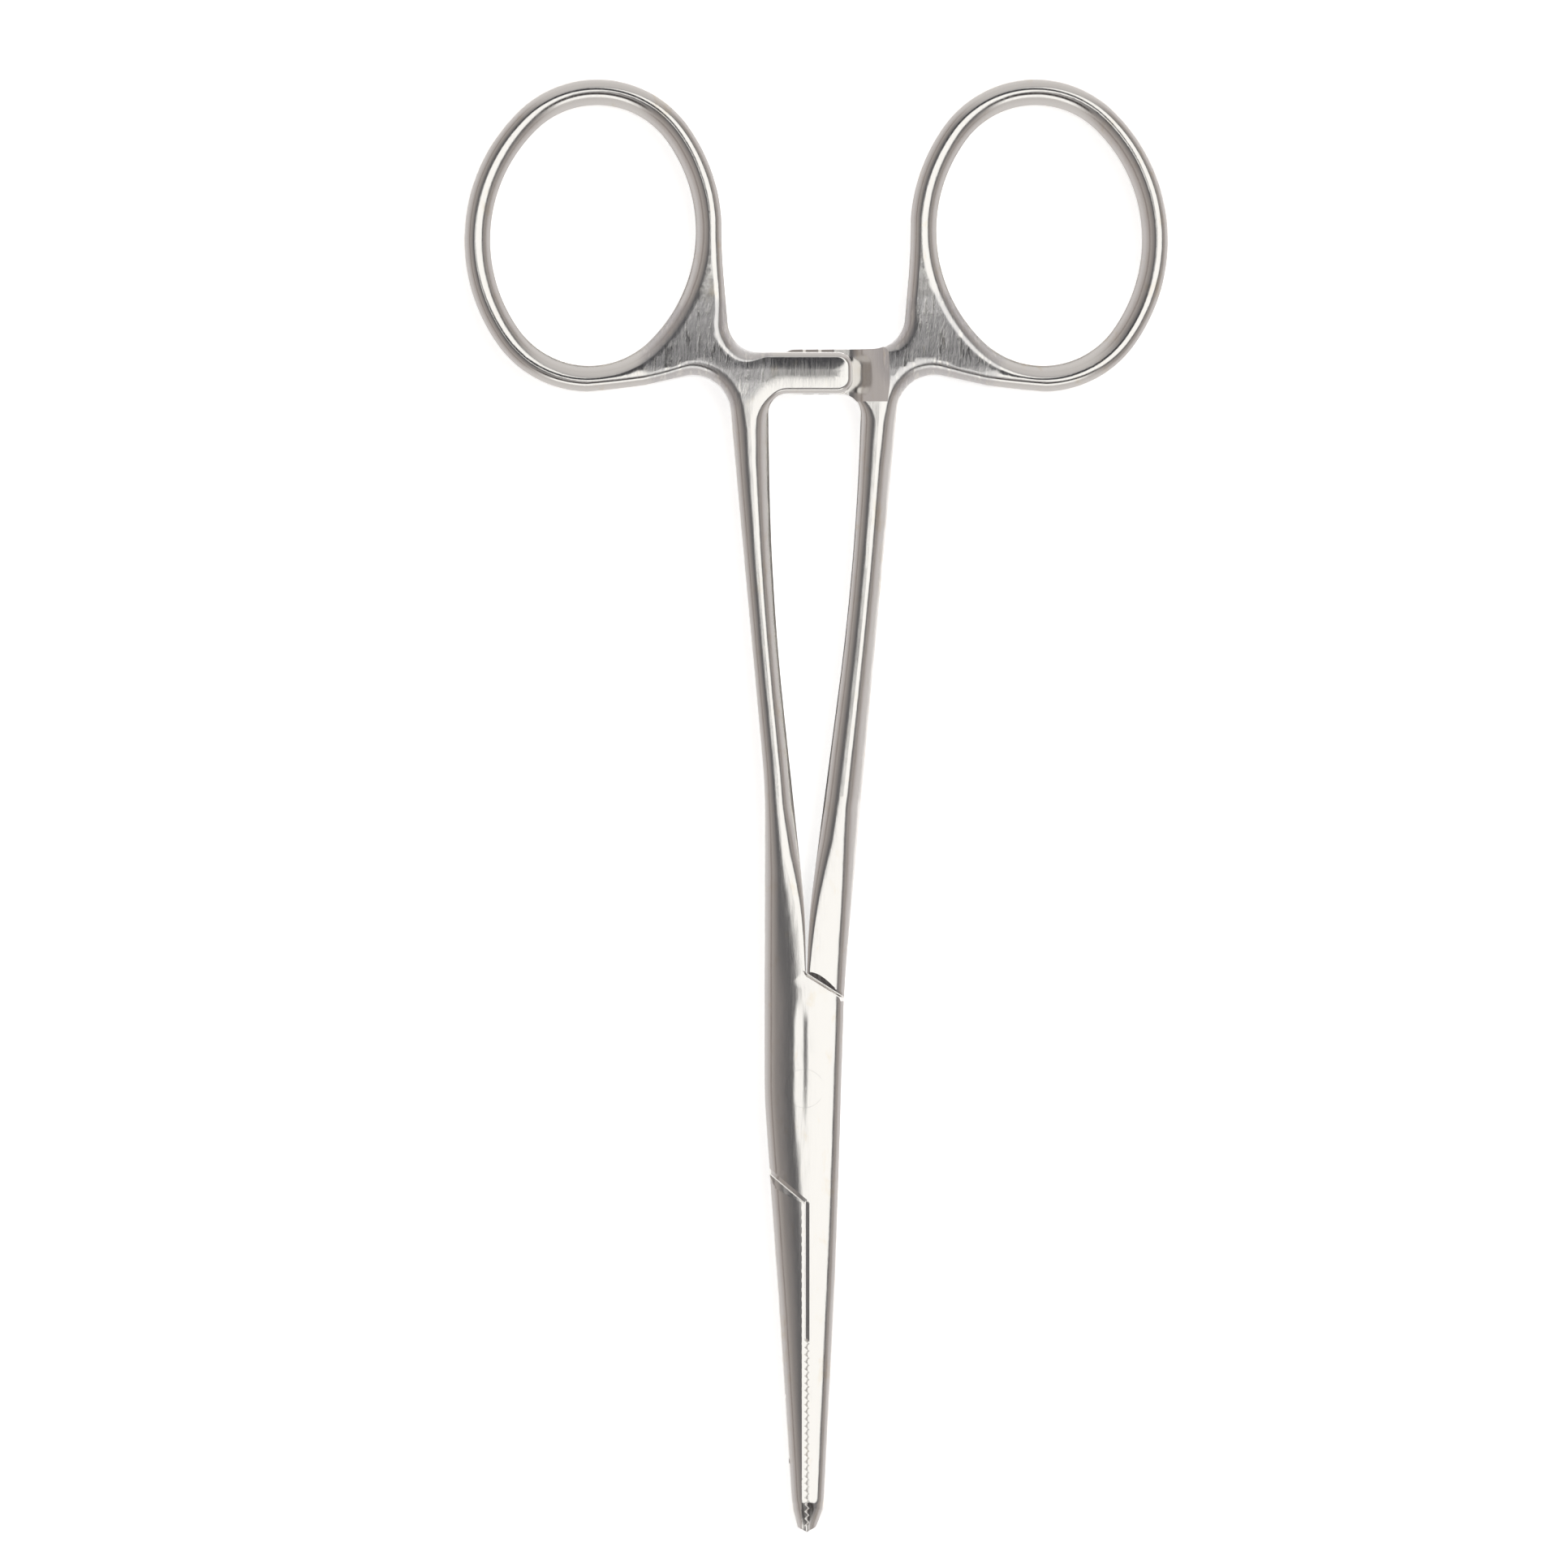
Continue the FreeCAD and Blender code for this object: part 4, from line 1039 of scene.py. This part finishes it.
class Nodes:
    """Short ways to add and link the nodes of a material or world."""

    def __init__(self, owner):
        owner.use_nodes = True
        self.tree = owner.node_tree

    def put(self, socket, value):
        """Link a socket to an output, or give it a value."""
        if isinstance(value, bpy.types.NodeSocket):
            self.tree.links.new(value, socket)
        else:
            socket.default_value = value

    def add(self, kind, **settings):
        """A node, with its inputs and properties by name."""
        node = self.tree.nodes.new(kind)
        for name, value in settings.items():
            if name in node.inputs:
                self.put(node.inputs[name], value)
            else:
                setattr(node, name, value)
        return node

    def calc(self, operation, a, b=0.0):
        """A Math node over outputs or numbers."""
        node = self.add("ShaderNodeMath", operation=operation)
        self.put(node.inputs[0], a)
        self.put(node.inputs[1], b)
        return node.outputs[0]

    def times(self, value, *others):
        for other in others:
            value = self.calc("MULTIPLY", value, other)
        return value

    def step(self, value, low, high, start=0.0, end=1.0):
        """A smooth step of an output, from start at low to end at high."""
        node = self.add("ShaderNodeMapRange", interpolation_type="SMOOTHSTEP", Value=value)
        for name, number in zip(("From Min", "From Max", "To Min", "To Max"), (low, high, start, end)):
            node.inputs[name].default_value = number
        return node.outputs["Result"]

    def noise(self, place, size, detail, rough, shift):
        """Noise with grains of (x, y, z) millimetres."""
        stretch = self.add("ShaderNodeMapping", Vector=place, Scale=[1 / (MM * s) for s in size],
                           Location=[shift] * 3)
        grains = self.add("ShaderNodeTexNoise", Vector=stretch.outputs[0], Scale=1.0, Detail=detail,
                          Roughness=rough)
        return grains.outputs["Fac"]

    def mix(self, share, first, second):
        """A blend of two colours, each an output or three numbers."""
        node = self.add("ShaderNodeMix", data_type="RGBA")
        self.put(node.inputs["Factor"], share)
        for index, colour in ((6, first), (7, second)):
            self.put(node.inputs[index], (*colour, 1) if isinstance(colour, tuple) else colour)
        return node.outputs[2]


STEEL = (0.80, 0.785, 0.765)
TAN = (0.77, 0.72, 0.64)
SATIN = (0.70, 0.69, 0.69)
SATIN_SIZE = (6.4, 5.6)
RAGGED_GRAIN = (0.5, 2.6, 0.8)
STREAK_GRAIN = (0.13, 2.2, 0.3)
WAVE_GRAIN = (2.2, 7.0, 2.2)
SCRATCH_GRAIN = (0.22, 1.1, 0.3)
STAIN_GRAIN = (1.6, 2.6, 1.6)
POLISHED_ROUGH = (0.1, 0.18)
SATIN_ROUGH = 0.06
POLISHED_RELIEF = 0.34
SATIN_RELIEF = 0.7
SCRATCH_DEPTH = 0.009
WAVE_DEPTH = 0.024


def steel(name, web, shift):
    """Hand-polished steel: fine lengthwise streaks, and a satin web where a wheel can't reach."""
    material = bpy.data.materials.new(name)
    nodes = Nodes(material)
    shader = nodes.tree.nodes["Principled BSDF"].inputs
    shader["Metallic"].default_value = 1.0
    place = nodes.add("ShaderNodeTexCoord").outputs["Object"]
    apart = nodes.add("ShaderNodeSeparateXYZ", Vector=place).outputs
    squares = []
    for axis, middle, size in zip("XY", web, SATIN_SIZE):
        off = nodes.calc("DIVIDE", nodes.calc("SUBTRACT", apart[axis], middle * MM), size * MM)
        squares.append(nodes.times(off, off))
    satin = nodes.step(nodes.calc("ADD", *squares), 0.75, 1.15, 1.0, 0.0)
    ragged = nodes.noise(place, RAGGED_GRAIN, 4.0, 0.65, shift)
    satin = nodes.times(satin, nodes.step(ragged, 0.36, 0.5))
    streaks = nodes.noise(place, STREAK_GRAIN, 3.0, 0.6, shift)
    waves = nodes.noise(place, WAVE_GRAIN, 2.0, 0.5, shift)
    scratches = nodes.noise(place, SCRATCH_GRAIN, 4.0, 0.7, shift + 7)
    stain = nodes.step(nodes.noise(place, STAIN_GRAIN, 3.0, 0.6, shift + 3), 0.56, 0.8)
    nodes.put(shader["Base Color"], nodes.mix(satin, nodes.mix(stain, STEEL, TAN), SATIN))
    polish = nodes.step(streaks, 0.3, 0.75, *POLISHED_ROUGH)
    nodes.put(shader["Roughness"], nodes.calc("ADD", nodes.times(satin, SATIN_ROUGH), polish))
    relief = nodes.calc("ADD", POLISHED_RELIEF, nodes.times(satin, SATIN_RELIEF))
    fine = nodes.add("ShaderNodeBump", Strength=1.0, Distance=SCRATCH_DEPTH * MM,
                     Height=nodes.times(scratches, relief))
    broad = nodes.add("ShaderNodeBump", Strength=1.0, Distance=WAVE_DEPTH * MM, Height=waves,
                      Normal=fine.outputs["Normal"])
    nodes.put(shader["Normal"], broad.outputs["Normal"])
    return material


# With the middle of each piece's satin web and a shift of its noise. The pin's web lies off the pin.
for piece, node, body, slot, web, shift in (
    (slotted, "slotted_half", "slotted_body", "slotted_half_steel", (-9.3, 70.4), 0.0),
    (tongue, "tongue_half", "tongue_body", "tongue_half_steel", (13.0, 71.0), 11.0),
    (pin, "box_lock_pin", "slotted_body", "pin_steel", (0.0, 60.0), 23.0),
):
    piece.data.materials.append(steel(f"{slot}_polished", web, shift))
    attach(piece, body)
    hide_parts(node)


def build_floor():
    """A floor that looks white, in reflections too, and takes a soft shadow."""
    size = 4.0
    mesh = bpy.data.meshes.new("floor")
    corners = [(-size, -size, 0), (size, -size, 0), (size, size, 0), (-size, size, 0)]
    mesh.from_pydata(corners, [], [(0, 1, 2, 3)])
    floor = add_object("floor", mesh)
    floor.location.z = -0.02 * MM
    material = bpy.data.materials.new("floor_white")
    nodes = Nodes(material)
    nodes.tree.nodes.clear()
    rays = nodes.add("ShaderNodeLightPath").outputs
    seen = nodes.calc("MAXIMUM", rays["Is Camera Ray"], rays["Is Glossy Ray"])
    seen = nodes.calc("MAXIMUM", seen, rays["Is Transmission Ray"])
    matt = nodes.add("ShaderNodeBsdfDiffuse", Color=(0.85, 0.85, 0.85, 1))
    glow = nodes.add("ShaderNodeEmission", Strength=nodes.times(seen, 0.55))
    total = nodes.add("ShaderNodeAddShader")
    nodes.put(total.inputs[0], matt.outputs[0])
    nodes.put(total.inputs[1], glow.outputs[0])
    nodes.add("ShaderNodeOutputMaterial", Surface=total.outputs[0])
    mesh.materials.append(material)


# The tent is addressed by how far a ray runs along X and Y while it climbs by 1.
TENT_STRENGTH = 1.22
TENT_REACH = 5.0
TENT_MIDDLE = (0.55, 0.15)
TENT_TOP = (1.0, 0.99, 0.965)
TENT_EDGE = (0.12, 0.117, 0.12)
TENT_ENDS = (0.62, 0.6, 0.585)
CLOTH = (0.05, 0.045, 0.045)
OPENING = (0.045, 0.045, 0.05)
OPENING_MIDDLE = (0.0, 0.24)

# The tones from the middle of the white top outwards, as (share of the reach, colour).
TENT = (
    (0.0, TENT_TOP),
    (0.128, TENT_TOP),
    (0.142, TENT_EDGE),
    (0.175, TENT_EDGE),
    (0.215, (0.215, 0.2, 0.195)),
    (0.28, (0.3, 0.275, 0.26)),
    (0.35, (0.37, 0.345, 0.33)),
    (0.375, (0.23, 0.2, 0.185)),
    (0.42, (0.26, 0.23, 0.215)),
    (0.46, (0.4, 0.37, 0.355)),
    (0.62, (0.45, 0.42, 0.41)),
    (1.0, (0.56, 0.535, 0.53)),
)


def build_world():
    """A white tent over the forceps, open at its left, with a dark edge and dimmer sides."""
    world = bpy.data.worlds.new("studio")
    bpy.context.scene.world = world
    nodes = Nodes(world)
    nodes.tree.nodes.clear()
    way = nodes.add("ShaderNodeTexCoord").outputs["Generated"]
    way = nodes.add("ShaderNodeSeparateXYZ", Vector=way).outputs
    up = nodes.calc("MAXIMUM", way["Z"], 0.02)
    u, v = (nodes.calc("DIVIDE", way[axis], up) for axis in "XY")

    def distance(x, y):
        a, b = nodes.calc("SUBTRACT", u, x), nodes.calc("SUBTRACT", v, y)
        return nodes.calc("SQRT", nodes.calc("ADD", nodes.times(a, a), nodes.times(b, b)))

    from_middle = distance(*TENT_MIDDLE)
    tones = nodes.add("ShaderNodeValToRGB", Fac=nodes.calc("DIVIDE", from_middle, TENT_REACH))
    ramp = tones.color_ramp
    for spot, _ in TENT[2:]:
        ramp.elements.new(spot)
    for element, (spot, tone) in zip(ramp.elements, TENT):
        element.position = spot
        element.color = (*tone, 1)
    # How near a ray runs to the line through head and foot: 1 on it, 0 straight to the side.
    lean = nodes.calc("DIVIDE", nodes.calc("ABSOLUTE", v), nodes.calc("ADD", distance(0.0, 0.0), 0.05))
    light = tones.outputs[0]
    # The head and foot of the tent are brighter than its sides.
    ends = nodes.times(nodes.step(lean, 0.65, 0.92), nodes.step(from_middle, 0.7, 0.8), 0.75)
    # A dark cloth with a white sheet behind it, at the foot.
    sheet = nodes.times(nodes.step(lean, 0.8, 0.9), nodes.step(v, -0.74, -0.78), nodes.step(v, -1.3, -1.25))
    cloth = nodes.times(nodes.step(lean, 0.7, 0.8), nodes.step(v, -0.42, -0.48), nodes.step(v, -0.8, -0.77))
    # The dark opening that the camera looks through.
    opening = nodes.step(distance(*OPENING_MIDDLE), 0.18, 0.2, 1.0, 0.0)
    for share, tone in ((ends, TENT_ENDS), (sheet, TENT_TOP), (cloth, CLOTH), (opening, OPENING)):
        light = nodes.mix(share, light, tone)
    sky = nodes.add("ShaderNodeBackground", Strength=TENT_STRENGTH, Color=light)
    nodes.add("ShaderNodeOutputWorld", Surface=sky.outputs[0])


def build_camera():
    """Straight down on the forceps with a long lens, the tips at the bottom. Measures are in metres."""
    frame_width = 0.15102
    height = 0.8
    data = bpy.data.cameras.new("camera")
    data.sensor_width = 36
    data.lens = data.sensor_width * height / frame_width
    data.clip_end = 20
    camera = add_object("camera", data)
    camera.location = (-0.00196, 0.02924, MID * MM + height)
    bpy.context.scene.camera = camera


def build_lamp():
    """A soft lamp up at the right, for the floor's shadow alone. Measures are in metres."""
    data = bpy.data.lights.new("softbox", "AREA")
    data.size = 0.7
    data.energy = 3.0
    lamp = add_object("softbox", data)
    lamp.location = (0.25, 0.35, 0.9)
    lamp.rotation_euler = Vector(lamp.location).to_track_quat("Z", "Y").to_euler()
    lamp.visible_glossy = False


build_floor()
build_world()
build_camera()
build_lamp()
bpy.context.scene.view_settings.view_transform = "Standard"
